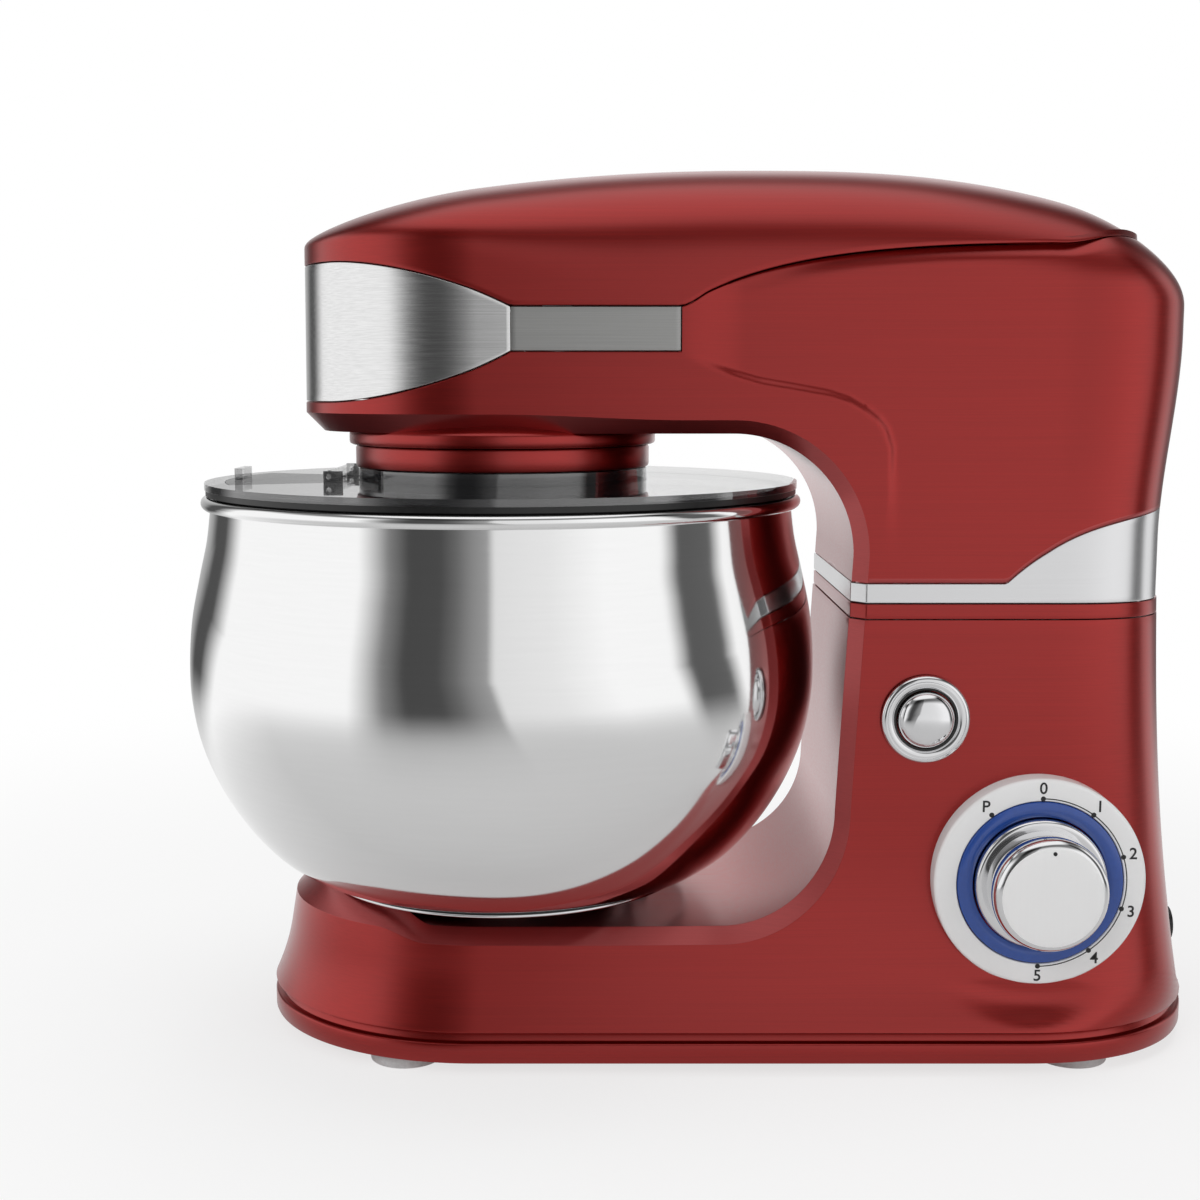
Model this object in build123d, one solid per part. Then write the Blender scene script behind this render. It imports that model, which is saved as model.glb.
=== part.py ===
from build123d import *
from math import acos, cos, pi, radians, sin, sqrt, tan
import os

# Tilt-head stand mixer. The bowl and nose are toward -X, the column toward +X, the
# dial and the tilt button on the -Y side, +Z is up and the feet stand on z = 0.
# All sizes are in millimetres.

# clearances
FIT = 0.05            # radial clearance of a running fit
SLIP = 0.3            # gap between faces that pass each other
SEAM = 0.15           # gap between neighbouring covers

# shell
WALL = 3.0            # wall of the moulded covers
BAND_T = 1.2          # steel band let into the covers
STRIP_DEPTH = 2.0     # how deep the side strips lie in the covers
SKIRT_T = 1.2         # wall of the column ring round the hinge
BODY_HALF = 58.2      # half width of the column at its top
FAR = 400.0           # beyond everything, for cutting blocks

# stack of heights, from the base up to the crest of the head
DECK_Z = 52.5         # flat top of the base
TOE_RISE = 7.3        # lip in front of the bowl
SEAT_H = 7.5
BOWL_LIFT = 0.6       # from the seat to the bowl's foot
BOWL_H = 147.0
LID_RISE = 5.0        # from the rim's middle to the lid
LID_T = 2.6
HUB_RISE = 12.4       # from the rim's middle to the hub collars
COLLAR_H = (9.0, 5.5)
HEAD_H = 98.0         # from the head's underside to its crest
COLUMN_DROP = 61.2    # from the head's underside down to the parting line
TOE_Z = DECK_Z + TOE_RISE
SEAT_TOP = DECK_Z + SEAT_H
BOWL_Z = SEAT_TOP + BOWL_LIFT
RIM_Z = BOWL_Z + BOWL_H
LID_Z = (RIM_Z + LID_RISE, RIM_Z + LID_RISE + LID_T)
COLLAR_Z = (RIM_Z + HUB_RISE, RIM_Z + HUB_RISE + COLLAR_H[0])
HEAD_Z = COLLAR_Z[1] + COLLAR_H[1]
SPLIT_Z = HEAD_Z - COLUMN_DROP
CREST_Z = HEAD_Z + HEAD_H
RING_H = 5.8          # red ring on top of the column

# places along X
BOWL_X = -74.0        # axis of the bowl and of the drive
BOWL_R = 122.3        # widest radius of the bowl
COLUMN_X = BOWL_X + BOWL_R + 3.2    # front face at the foot of the column
HINGE_X = COLUMN_X + 114.5
MOTOR_X = COLUMN_X + 55.5

# plan outlines: z, further half width, nose before the bowl's axis, and from the column's
# front face the start and the tip of the rear curve, then its squareness
FLANGE = (16.1, 93.5, 68.5, 144.8, 2.2)
BODY_ROWS = [
    (16.0, 13.4, 89.5, 66.5, 139.0, 2.6),
    (30.0, 11.4, 87.2, 66.5, 137.3, 2.8),
    (50.0, 8.6, 84.6, 68.5, 135.5, 3.0),
    (71.0, 5.0, 83.0, 70.5, 133.3, 3.2),
    (100.0, 2.2, 82.0, 72.5, 130.1, 3.3),
    (135.0, 0.7, 81.0, 74.5, 126.9, 3.4),
    (SPLIT_Z, 0.0, 80.0, 74.5, 124.8, 3.4),
]
HEAD_ROWS = [
    (SPLIT_Z, 0.0, 76.2, 74.5, 124.8, 3.4),
    (SPLIT_Z + 31.7, -0.4, 76.2, 74.5, 125.5, 3.4),
    (HEAD_Z + 1.5, -0.7, 76.2, 74.5, 128.5, 3.4),
    (HEAD_Z + 41.5, -0.9, 76.4, 74.5, 131.3, 3.4),
    (HEAD_Z + 70.5, -1.2, 76.6, 72.5, 119.5, 3.4),
    (CREST_Z + 3.0, -2.2, 76.6, 66.5, 106.5, 3.4),
]
# dome of the head: reach, fall and power of the crest toward the nose and the rear
CREST_X = COLUMN_X - 31.5
NOSE_FALL = (170.0, 20.0, 2.1)
REAR_FALL = (150.0, 23.0, 2.7)
DOME_HALF = BODY_HALF + 1.8
DOME_RISE = 44.0
DOME_POWER = 2.6

# opening between the base and the head
OPEN_LEAN = 5.2       # how much further back the column is at the head
LOW_ARC = 42.0        # rounding between the base and the column
HIGH_ARC = 44.0       # rounding between the column and the head

# seams and bands of the head: x from the bowl's axis, z from the head's underside
SEAM_LINE = [(67.0, 37.5), (72.0, 46.5), (99.0, 57.5), (120.0, 63.0), (160.0, 67.5), (208.0, 70.0), (294.0, 77.5)]
BAND_TOP = [(6.2, 45.3), (-15.0, 54.3), (-32.0, 59.3), (-50.0, 61.8), (-86.0, 62.3)]
BAND_LOW = [(-86.0, 11.1), (-50.0, 12.4), (-33.0, 15.4), (-15.2, 20.7), (6.2, 29.7)]
STRIP = (6.6, 67.4, 29.7, 45.3)
# neck band: x from the column's front face, z from the parting line
NECK_LINE = [(-11.5, 7.3), (60.1, 7.3), (75.3, 19.4), (88.5, 26.1), (101.2, 30.7), (138.5, 38.2)]

# base
FLANGE_Z = 4.8        # lower edge of the base
FLANGE_TOP = 21.0
GROOVE_Z = 13.0
GROOVE_H = 2.2
GROOVE_D = 1.1
PLATE_T = 2.5
PLATE_Z = FLANGE_Z + 1.0
FOOT_R = 13.7
FOOT_STEM_R = 4.5
FOOT_X = (BOWL_X - 35.0, COLUMN_X + 90.5)
FOOT_Y = BODY_HALF - 5.2
LEDGE = 4.2           # from the flange's side to the well of the bottom plate
SCREW_R = 1.75
SCREW_XY = [(BOWL_X - 46.0, 30.0), (BOWL_X + 44.0, BODY_HALF - 2.2),
            (COLUMN_X + 10.5, BODY_HALF + 2.3), (COLUMN_X + 129.5, 20.0)]
SEAT_SCREW_R = 30.0   # circle of the seat's screws
CORD_Z = 34.0
CORD_R = 3.6
GLAND_R = 6.9

# bowl: share of the way from the foot's radius to the widest radius, share of the height
FOOT_RING_R = 73.0
BOWL_SHAPE = [(0.0, 0.0), (0.233, 0.038), (0.422, 0.089), (0.625, 0.169), (0.799, 0.267), (0.925, 0.373),
              (0.988, 0.479), (1.0, 0.581), (0.972, 0.697), (0.905, 0.809), (0.844, 0.901), (0.811, 0.985)]
BOWL_ROWS = [(FOOT_RING_R + (BOWL_R - FOOT_RING_R) * r, BOWL_Z + BOWL_H * h) for r, h in BOWL_SHAPE]
BOWL_WALL = 1.0
RIM_R = 2.6
FLOOR_RISE = 3.0      # hollow under the bowl
SEAT_R = FOOT_RING_R - 5.0
CRADLE_R = FOOT_RING_R + 2.5        # round recess in which the bowl stands
LUG_COUNT = 3
LUG_ARC = 34.0        # degrees
LUG_R = (52.0, 58.0)
LUG_Z = (DECK_Z + 2.2, DECK_Z + 4.2)
GROOVE_R = (LUG_R[0] - 8.0, LUG_R[1] + 0.4)
GROOVE_FLOOR = DECK_Z + 1.7
LIP_Z = LUG_Z[1] + 0.4

# hinge of the head
HINGE_Z = SPLIT_Z + 3.7
HINGE_PIN_R = 3.5
HINGE_EYE_R = HINGE_PIN_R + 2.5
EYE_HEAD = (10.0, 19.0)
EYE_COLUMN = (EYE_HEAD[1] + SLIP, EYE_HEAD[1] + 6.5)

# planetary drive
MODULE = 1.25
PLANET_TEETH = 20
RING_TEETH = 76
GEAR_TEETH = 72
PINION_TEETH = 12
TIP = 0.95            # height of a tooth above the pitch circle, in modules
ROOT = 1.25           # depth of a tooth below the pitch circle, in modules
TOOTH_SLACK = 0.14
PLANET_E = MODULE * (RING_TEETH - PLANET_TEETH) / 2
GEAR_E = MODULE * (GEAR_TEETH + PINION_TEETH) / 2
PULLEY_X = BOWL_X + GEAR_E
COLLAR_BORE = MODULE * RING_TEETH / 2 + 4.8
COLLAR_R = (COLLAR_BORE + 7.4, COLLAR_BORE + 5.0)
CARRIER_R = COLLAR_BORE - 5.8
CARRIER_Z = (COLLAR_Z[0] - 5.0, COLLAR_Z[0] + 8.5)
PLANET_Z = (CARRIER_Z[1] + 1.5, CARRIER_Z[1] + 7.5)
FRAME_Z = (HEAD_Z + WALL + 0.5, HEAD_Z + WALL + 5.5)
FRAME_HALF = BODY_HALF - 12.2
POST_X = (PULLEY_X - 30.0, PULLEY_X + 34.0)
POST_Y = BODY_HALF - 9.7
GEAR_Z = (FRAME_Z[1] + 5.0, FRAME_Z[1] + 13.0)
BELT_Z = (GEAR_Z[1] + 8.0, GEAR_Z[1] + 17.0)
BRIDGE_Z = (BELT_Z[1] + 5.0, BELT_Z[1] + 8.5)
PULLEY_R = 42.0
MOTOR_PULLEY_R = 7.0
BELT_T = 1.6
CARRIER_SHAFT_R = 6.0
CARRIER_BEARING_R = 14.0
TOOL_SHAFT_R = 6.0
PULLEY_SHAFT_R = 4.0
BEARING_R = 11.0
BEARING_W = 6.0

# motor
MOTOR_R = 41.0
MOTOR_H = 48.0
MOTOR_Z = (FRAME_Z[0] - 2.0 - MOTOR_H, FRAME_Z[0] - 2.0)
FAN_Z = FRAME_Z[1] + 6.5
ROTOR_R = 21.8
COMMUTATOR_R = 10.0
AIR_GAP = 0.5
MOTOR_SHAFT_R = PULLEY_SHAFT_R      # the same bearings carry both shafts

# tool
BEATER_HALF = 74.0
BEATER_H = 98.0
BEATER_T = 7.0
BEATER_Z = (BOWL_Z + 17.4, BOWL_Z + 17.4 + BEATER_H)
BEATER_BAR = 9.0
HUB_R = 13.5
SHAFT_END = RIM_Z - 21.6
PIN_R = 1.75
PIN_Z = SHAFT_END + 10.0

# lid
LID_R = BOWL_ROWS[-1][0] + 2.0
LID_HUB_R = COLLAR_BORE + 4.1
FLAP_ARC = 44.0
FLAP_R = (LID_HUB_R + 5.6, LID_R - 8.0)
FLAP_PIN_R = 1.0
FLAP_PIN_X = BOWL_X - FLAP_R[0] - 2.0
FLAP_PIN_Z = LID_Z[1] + 2.5
FLAP_EAR = (28.0, 30.5)

# dial
DIAL_X = COLUMN_X + 73.8
DIAL_Z = DECK_Z + 18.7
DIAL_Y = -(BODY_HALF + 8.6)
DIAL_R = 39.0
DIAL_T = 4.6
RING_R = (24.6, 30.5)
KNOB_R = 21.0
KNOB_OUT = 18.5
KNOB_SHAFT_R = 3.0

# tilt button and latch
BUTTON_X = COLUMN_X + 31.7
BUTTON_Z = SPLIT_Z - 42.5
BUTTON_R = 11.4
BUTTON_OUT = 6.5
BEZEL_R = BUTTON_R + 5.0
LATCH_Y = -(BODY_HALF - 12.2)
LATCH_Z = BUTTON_Z + 19.2
LATCH_PIN_R = 2.0
HOOK_TOP = SPLIT_Z + 14.7
HOOK_HALF = 4.0
STRIKER_Y = LATCH_Y + 6.6


def save(shape, name):
    export_step(shape, f"parts/{name}.step")


def rod(radius, z0, z1, x=0.0, y=0.0):
    return Pos(x, y, (z0 + z1) / 2) * Cylinder(radius, z1 - z0)


def tube(outer, inner, z0, z1, x=0.0, y=0.0):
    return rod(outer, z0, z1, x, y) - rod(inner, z0 - 1, z1 + 1, x, y)


def rodY(radius, y0, y1, x, z):
    return Pos(x, (y0 + y1) / 2, z) * Rot(90, 0, 0) * Cylinder(radius, y1 - y0)


def rodX(radius, x0, x1, y, z):
    return Pos((x0 + x1) / 2, y, z) * Rot(0, 90, 0) * Cylinder(radius, x1 - x0)


def block(x0, x1, y0, y1, z0, z1):
    return Pos((x0 + x1) / 2, (y0 + y1) / 2, (z0 + z1) / 2) * Box(x1 - x0, y1 - y0, z1 - z0)


def slab(z0, z1):
    """Everything between two heights."""
    return block(-FAR, FAR, -FAR, FAR, z0, z1)


def eyes(span, x0, x1, z0, z1):
    """Two equal blocks, one on each side of the middle plane, between two distances from it."""
    near, far = span
    return block(x0, x1, near, far, z0, z1) + block(x0, x1, -far, -near, z0, z1)


def outline(wider, nose, start, rear, power, inset=0.0):
    """Plan outline: round nose, straight sides and a rounded rear."""
    half = BODY_HALF + wider - inset
    front = BOWL_X - nose + inset
    start += COLUMN_X
    reach = COLUMN_X + rear - inset - start
    back = []
    for i in range(1, 12):
        turn = pi * i / 12 - pi / 2
        x = start + reach * abs(cos(turn)) ** (2 / power)
        back.append((x, half * abs(sin(turn)) ** (2 / power) * (1 if turn > 0 else -1)))
    low, high = (start, -half), (start, half)
    bend = front + half
    edges = [
        Line((bend, -half), low),
        Spline(low, *back, high, tangents=[(1, 0), (-1, 0)]),
        Line(high, (bend, half)),
        ThreePointArc((bend, half), (front, 0), (bend, -half)),
    ]
    return make_face(Wire(edges))


def tower(rows, inset=0.0):
    """Solid through a stack of plan outlines."""
    return loft([Pos(0, 0, z) * outline(*rest, inset=inset) for z, *rest in rows], ruled=True)


def profileXZ(points, half=FAR):
    """Prism along Y of a closed outline in X and Z."""
    face = make_face(Polyline(*[(x, 0, z) for x, z in points], close=True))
    return extrude(face, half, dir=(0, 1, 0), both=True)


def openingXZ(grow=0.0, reach=-FAR):
    """Prism of the gap between the base and the head, grown outward for inner walls."""
    low, high = DECK_Z - grow, HEAD_Z + grow
    x0, x1 = COLUMN_X + grow, COLUMN_X + OPEN_LEAN + grow
    a, b = LOW_ARC + grow, HIGH_ARC + grow
    s = sqrt(0.5)
    edges = [
        Line((reach, 0, low), (x0 - a, 0, low)),
        ThreePointArc((x0 - a, 0, low), (x0 - a + a * s, 0, low + a - a * s), (x0, 0, low + a)),
        Line((x0, 0, low + a), (x1, 0, high - b)),
        ThreePointArc((x1, 0, high - b), (x1 - b + b * s, 0, high - b + b * s), (x1 - b, 0, high)),
        Line((x1 - b, 0, high), (reach, 0, high)),
        Line((reach, 0, high), (reach, 0, low)),
    ]
    return extrude(make_face(Wire(edges)), FAR, dir=(0, 1, 0), both=True)


def crestZ(x):
    """Height of the head's middle line."""
    reach, fall, power = NOSE_FALL if x < CREST_X else REAR_FALL
    return CREST_Z - fall * (abs(x - CREST_X) / reach) ** power


def crown(inset=0.0):
    """Solid under the domed top of the head."""
    half = DOME_HALF - 1.0
    front = BOWL_X - 86
    back = COLUMN_X + 148.5
    grid = []
    for i in range(19):
        x = front + (back - front) * i / 18
        row = []
        for j in range(15):
            y = half * (j - 7) / 7
            drop = DOME_RISE * (1 - sqrt(1 - (abs(y) / DOME_HALF) ** DOME_POWER))
            row.append(Vector(x, y, crestZ(x) - drop - inset))
        grid.append(row)
    top = Face.make_surface_from_array_of_points(grid)
    return Solid.extrude(top, Vector(0, 0, SPLIT_Z - 20 - CREST_Z))


def headBody(inset=0.0):
    return (tower(HEAD_ROWS, inset) & crown(inset)) - openingXZ(inset) - slab(0, SPLIT_Z)


def involute(radius, base):
    angle = acos(min(1.0, base / radius))
    return tan(angle) - angle


def toothedFace(teeth, inner, outer, slack, phase=0.0):
    """Gear outline with involute flanks; slack is taken off each tooth's thickness."""
    pitch = MODULE * teeth / 2
    base = pitch * cos(radians(20))
    start = max(inner, base)
    half = pi / (2 * teeth) - slack / (2 * pitch) + involute(pitch, base)
    flank = [start + (outer - start) * i / 3 for i in range(4)]
    if inner < base:
        flank.insert(0, inner)
    points = []
    for i in range(teeth):
        middle = 2 * pi * i / teeth + phase
        sides = [(r, half - involute(max(r, start), base)) for r in flank]
        points += [(r * cos(middle - a), r * sin(middle - a)) for r, a in sides]
        points += [(r * cos(middle + a), r * sin(middle + a)) for r, a in reversed(sides)]
    return make_face(Polyline(*points, close=True))


def gear(teeth, z0, z1, phase=0.0):
    pitch = MODULE * teeth / 2
    face = toothedFace(teeth, pitch - ROOT * MODULE, pitch + TIP * MODULE, TOOTH_SLACK, phase)
    return Pos(0, 0, z0) * extrude(face, z1 - z0)


def loop(r1, r2, distance):
    """Outline of a belt loop round two pulleys, the second one toward +X."""
    turn = acos((r1 - r2) / distance)
    a, b = (r1 * cos(turn), r1 * sin(turn)), (distance + r2 * cos(turn), r2 * sin(turn))
    edges = [
        Line(a, b),
        ThreePointArc(b, (distance + r2, 0), (b[0], -b[1])),
        Line((b[0], -b[1]), (a[0], -a[1])),
        ThreePointArc((a[0], -a[1]), (-r1, 0), a),
    ]
    return make_face(Wire(edges))


def wallY(z, rows):
    """Half width of a body at a height, between its two nearest outlines."""
    for low, high in zip(rows, rows[1:]):
        if low[0] <= z <= high[0]:
            return BODY_HALF + low[1] + (high[1] - low[1]) * (z - low[0]) / (high[0] - low[0])
    return BODY_HALF + rows[-1][1]


def seatScrewPlaces():
    angles = [radians(180 / LUG_COUNT + 360 / LUG_COUNT * i) for i in range(LUG_COUNT)]
    return [(BOWL_X + SEAT_SCREW_R * cos(a), SEAT_SCREW_R * sin(a)) for a in angles]


# ---- base and column ----

def bodySolid(inset=0.0):
    shape = tower([(FLANGE_Z - 1, *BODY_ROWS[0][1:]), *BODY_ROWS], inset)
    shape -= slab(SPLIT_Z - RING_H - SLIP - 2 * inset / WALL, FAR)
    toe = block(-FAR, BOWL_X - 28, -FAR, FAR, DECK_Z - inset - 5, TOE_Z - inset)
    return shape - (openingXZ(inset) - (toe - rod(CRADLE_R + inset, 0, FAR, BOWL_X)))


def makeBaseShell():
    flange = Pos(0, 0, FLANGE_Z) * extrude(outline(*FLANGE), FLANGE_TOP - FLANGE_Z)
    flange = chamfer(flange.faces().sort_by(Axis.Z)[-1].edges(), 2.2)
    groove = outline(*FLANGE, inset=-5) - outline(*FLANGE, inset=GROOVE_D)
    flange -= Pos(0, 0, GROOVE_Z) * extrude(groove, GROOVE_H)
    shell = (bodySolid() - slab(0, FLANGE_Z)) + flange
    post0 = PLATE_Z + PLATE_T
    shell -= bodySolid(WALL) & slab(0, FAR)
    shell -= extrude(outline(*FLANGE, inset=LEDGE), post0)
    shell -= slab(-1, FLANGE_Z)
    # open top of the column
    front = COLUMN_X + OPEN_LEAN + WALL + 1
    side = BODY_HALF - 6.2
    shell -= block(front, HINGE_X + 3, -side, side, SPLIT_Z - RING_H - 7.5, SPLIT_Z - 1.3)
    # screw posts, each with a pilot hole
    places = [(x, y * side) for x, y in SCREW_XY for side in (-1, 1)]
    shell += [rod(5, post0, DECK_Z - WALL / 2, x, y) & bodySolid(WALL / 2) for x, y in places]
    for x, y in places:
        shell -= rod(SCREW_R + FIT, 0, post0 + 15.7, x, y)
    # dial boss with its pocket, and the hole for the tilt button
    inner = DIAL_Y + 9.0
    shell += rodY(DIAL_R + 2.6, DIAL_Y + 0.6, inner, DIAL_X, DIAL_Z) & bodySolid(-6)
    shell -= rodY(DIAL_R + SEAM, DIAL_Y - 12, DIAL_Y + DIAL_T, DIAL_X, DIAL_Z)
    shell -= rodY(RING_R[0] - 2, DIAL_Y - 12, inner + 8, DIAL_X, DIAL_Z)
    wall = -wallY(BUTTON_Z, BODY_ROWS)
    shell -= rodY(BUTTON_R + 2.0, wall - 30, LATCH_Y + 1, BUTTON_X, BUTTON_Z)
    shell -= rodY(BEZEL_R + SEAM, wall - 30, wall, BUTTON_X, BUTTON_Z)
    # ears for the latch pin
    for x0 in (BUTTON_X - HOOK_HALF - 4.0, BUTTON_X + HOOK_HALF + 1.0):
        ear = block(x0, x0 + 3, 1 - wallY(LATCH_Z, BODY_ROWS), LATCH_Y + 4, LATCH_Z - 5, LATCH_Z + 5)
        shell += ear - rodX(LATCH_PIN_R, x0 - 1, x0 + 4, LATCH_Y, LATCH_Z)
    # rear hole for the cord gland, and the holes for the seat's screws
    shell -= rodX(GLAND_R + 0.1, COLUMN_X + 113.5, FAR, 0, CORD_Z)
    for x, y in seatScrewPlaces():
        shell -= rod(SCREW_R + FIT, DECK_Z - 12.5, SEAT_TOP, x, y)
    return shell


def makeFoot(x, y):
    return rod(FOOT_R, 0, PLATE_Z, x, y) + rod(FOOT_STEM_R, 0, PLATE_Z + PLATE_T + 2, x, y)


def makeBottomPlate():
    plate = Pos(0, 0, PLATE_Z) * extrude(outline(*FLANGE, inset=LEDGE + SEAM), PLATE_T)
    for side in (-1, 1):
        plate -= [rod(FOOT_STEM_R, 0, SEAT_TOP, x, side * FOOT_Y) for x in FOOT_X]
        plate -= [rod(SCREW_R + FIT, 0, SEAT_TOP, x, side * y) for x, y in SCREW_XY]
    # air slots
    slot, pitch = 5.0, 12.0
    for i in range(5):
        x = COLUMN_X + 8.5 + pitch * i
        plate -= block(x, x + slot, -22, 22, 0, SEAT_TOP)
    return plate


def makeScrew(x, y, seat, length):
    """Screw whose head bears on a face; a negative length points down."""
    head, shank = sorted((seat, seat - 1.6 * length / abs(length))), sorted((seat, seat + length))
    return rod(3.4, *head, x, y) + rod(SCREW_R, *shank, x, y)


def makeBowlSeat():
    seat = rod(SEAT_R, DECK_Z, SEAT_TOP, BOWL_X)
    seat -= tube(GROOVE_R[1], GROOVE_R[0], GROOVE_FLOOR, FAR, BOWL_X)
    rim = tube(GROOVE_R[1] + 0.5, LUG_R[0] + 1.2, LIP_Z, SEAT_TOP, BOWL_X)
    for i in range(LUG_COUNT):
        reach = LUG_ARC / 2 + 3
        middle = 360 / LUG_COUNT * i
        seat += rim & sector(middle - reach, middle + reach, CRADLE_R, DECK_Z, SEAT_TOP + 5)
    for x, y in seatScrewPlaces():
        seat -= rod(SCREW_R + FIT, 0, FAR, x, y)
        seat -= rod(3.8, SEAT_TOP - 2.2, FAR, x, y)
    return seat


def sector(a0, a1, radius, z0, z1):
    """Wedge of a disc round the bowl axis, between two angles in degrees."""
    angles = [radians(a0 + (a1 - a0) * i / 6) for i in range(7)]
    arc = [(radius * cos(a), radius * sin(a)) for a in angles]
    return Pos(BOWL_X, 0, z0) * extrude(make_face(Polyline((0, 0), *arc, close=True)), z1 - z0)


def makeBowl():
    inner = []
    for i, (r, z) in enumerate(BOWL_ROWS):
        before, after = BOWL_ROWS[max(i - 1, 0)], BOWL_ROWS[min(i + 1, len(BOWL_ROWS) - 1)]
        dr, dz = after[0] - before[0], after[1] - before[1]
        size = sqrt(dr * dr + dz * dz)
        inner.append((r - BOWL_WALL * dz / size, z + BOWL_WALL * dr / size))
    floor = BOWL_Z + FLOOR_RISE
    foot, top = BOWL_ROWS[0], BOWL_ROWS[-1]
    hollow = (foot[0] - 3.0, floor)
    outer = Spline(*[(r, 0, z) for r, z in BOWL_ROWS])
    lining = Spline(*[(r, 0, z) for r, z in [(hollow[0] + 0.8, floor + BOWL_WALL)] + inner[1:]])
    edges = [
        outer,
        Line((top[0], 0, top[1]), (inner[-1][0], 0, inner[-1][1])),
        lining,
        Line((hollow[0] + 0.8, 0, floor + BOWL_WALL), (0, 0, floor + BOWL_WALL)),
        Line((0, 0, floor + BOWL_WALL), (0, 0, floor)),
        Line((0, 0, floor), (hollow[0], 0, floor)),
        Line((hollow[0], 0, floor), (foot[0] - 1.5, 0, foot[1])),
        Line((foot[0] - 1.5, 0, foot[1]), (foot[0], 0, foot[1])),
    ]
    shell = revolve(make_face(Wire(edges)), Axis.Z)
    return Pos(BOWL_X, 0, 0) * (shell + Pos(0, 0, RIM_Z) * Torus(top[0] + 1.0, RIM_R))


def makeBowlFoot():
    floor = BOWL_Z + FLOOR_RISE
    ring = tube(LUG_R[0], LUG_R[0] - 4, floor - 2.0, floor, BOWL_X)
    for i in range(LUG_COUNT):
        middle = 360 / LUG_COUNT * i
        wedge = sector(middle - LUG_ARC / 2, middle + LUG_ARC / 2, CRADLE_R, DECK_Z, floor + 5)
        ring += tube(LUG_R[0], LUG_R[0] - 2, LUG_Z[0], floor, BOWL_X) & wedge
        ring += tube(LUG_R[1] - SLIP, LUG_R[0] - 2, LUG_Z[0], LUG_Z[1], BOWL_X) & wedge
    return ring


def makeColumnRing():
    plan = HEAD_ROWS[0][1:]
    rows = [(SPLIT_Z - RING_H - 2, *plan), (SPLIT_Z + 2, *plan)]
    ring = tower(rows) & slab(SPLIT_Z - RING_H, SPLIT_Z - SLIP)
    front = COLUMN_X + OPEN_LEAN + WALL
    ring -= tower(rows, WALL) & block(front, FAR, -FAR, FAR, 0, FAR)
    # thinner round the hinge, where the head swings inside it
    ring -= tower(rows, SKIRT_T) & block(HINGE_X - 10, FAR, -FAR, FAR, 0, FAR)
    return ring - openingXZ()


def makeColumnFrame():
    z0 = SPLIT_Z - RING_H - 12
    z1 = z0 + 5
    half = BODY_HALF - 17.2
    frame = block(COLUMN_X + 20.5, HINGE_X - 8, -half, half, z0, z1)
    frame -= block(COLUMN_X + 32.5, HINGE_X - 26, 11 - half, half - 11, 0, FAR)
    frame += block(HINGE_X - 16, HINGE_X + 1, -EYE_COLUMN[1], EYE_COLUMN[1], z0, z1)
    frame += eyes(EYE_COLUMN, HINGE_X - 12, HINGE_X + 1, z0, HINGE_Z - 3)
    frame += rodY(HINGE_EYE_R, *EYE_COLUMN, HINGE_X, HINGE_Z)
    frame += rodY(HINGE_EYE_R, -EYE_COLUMN[1], -EYE_COLUMN[0], HINGE_X, HINGE_Z)
    return frame - rodY(HINGE_PIN_R, -BODY_HALF, BODY_HALF, HINGE_X, HINGE_Z)


def makeHingePin():
    reach = EYE_COLUMN[1] + 1.5
    pin = rodY(HINGE_PIN_R, -reach, reach, HINGE_X, HINGE_Z)
    return pin + rodY(HINGE_PIN_R + 1.3, reach - 1.2, reach, HINGE_X, HINGE_Z)


# ---- dial, tilt button and latch ----

def frontEdges(shape):
    """Edges of the face nearest to the user."""
    return shape.faces().sort_by(Axis.Y)[0].edges()


def makeDialBezel():
    disc = rodY(DIAL_R, DIAL_Y, DIAL_Y + DIAL_T, DIAL_X, DIAL_Z)
    disc = fillet(frontEdges(disc), 1.2)
    seat = rodY(RING_R[1] + SEAM, DIAL_Y - 1, DIAL_Y + 2.4, DIAL_X, DIAL_Z)
    return disc - seat - rodY(RING_R[0], DIAL_Y - 1, DIAL_Y + 10, DIAL_X, DIAL_Z)


def makeLightRing():
    ring = rodY(RING_R[1], DIAL_Y - 0.9, DIAL_Y + 2.4, DIAL_X, DIAL_Z)
    ring -= rodY(RING_R[0], DIAL_Y - 2, DIAL_Y + 10, DIAL_X, DIAL_Z)
    return fillet(frontEdges(ring), 0.8)


def makeKnobCollar():
    ring = rodY(RING_R[0] - SLIP, DIAL_Y - 3.2, DIAL_Y + 3.0, DIAL_X, DIAL_Z)
    ring = fillet(frontEdges(ring), 1.4)
    return ring - rodY(KNOB_SHAFT_R, DIAL_Y - 10, DIAL_Y + 10, DIAL_X, DIAL_Z)


def makeKnob():
    knob = rodY(KNOB_R, DIAL_Y - KNOB_OUT, DIAL_Y - 3.2, DIAL_X, DIAL_Z)
    knob = fillet(frontEdges(knob), 1.6)
    return knob - rodY(KNOB_SHAFT_R, DIAL_Y - KNOB_OUT + 4.5, DIAL_Y, DIAL_X, DIAL_Z)


def makeKnobShaft():
    return rodY(KNOB_SHAFT_R, DIAL_Y - KNOB_OUT + 4.5, DIAL_Y + 14.5, DIAL_X, DIAL_Z)


def makeSpeedSwitch():
    y0 = DIAL_Y + 11.0
    body = rodY(13.0, y0, y0 + 16, DIAL_X, DIAL_Z)
    body += block(DIAL_X - 10, DIAL_X + 10, y0 + 12, y0 + 17, DIAL_Z - 16, DIAL_Z - 4)
    body += block(DIAL_X - 26, DIAL_X + 26, y0, y0 + 2.0, DIAL_Z - 8, DIAL_Z + 8)
    return body - rodY(KNOB_SHAFT_R + FIT, y0 - 5, DIAL_Y + 15.0, DIAL_X, DIAL_Z)


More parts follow.
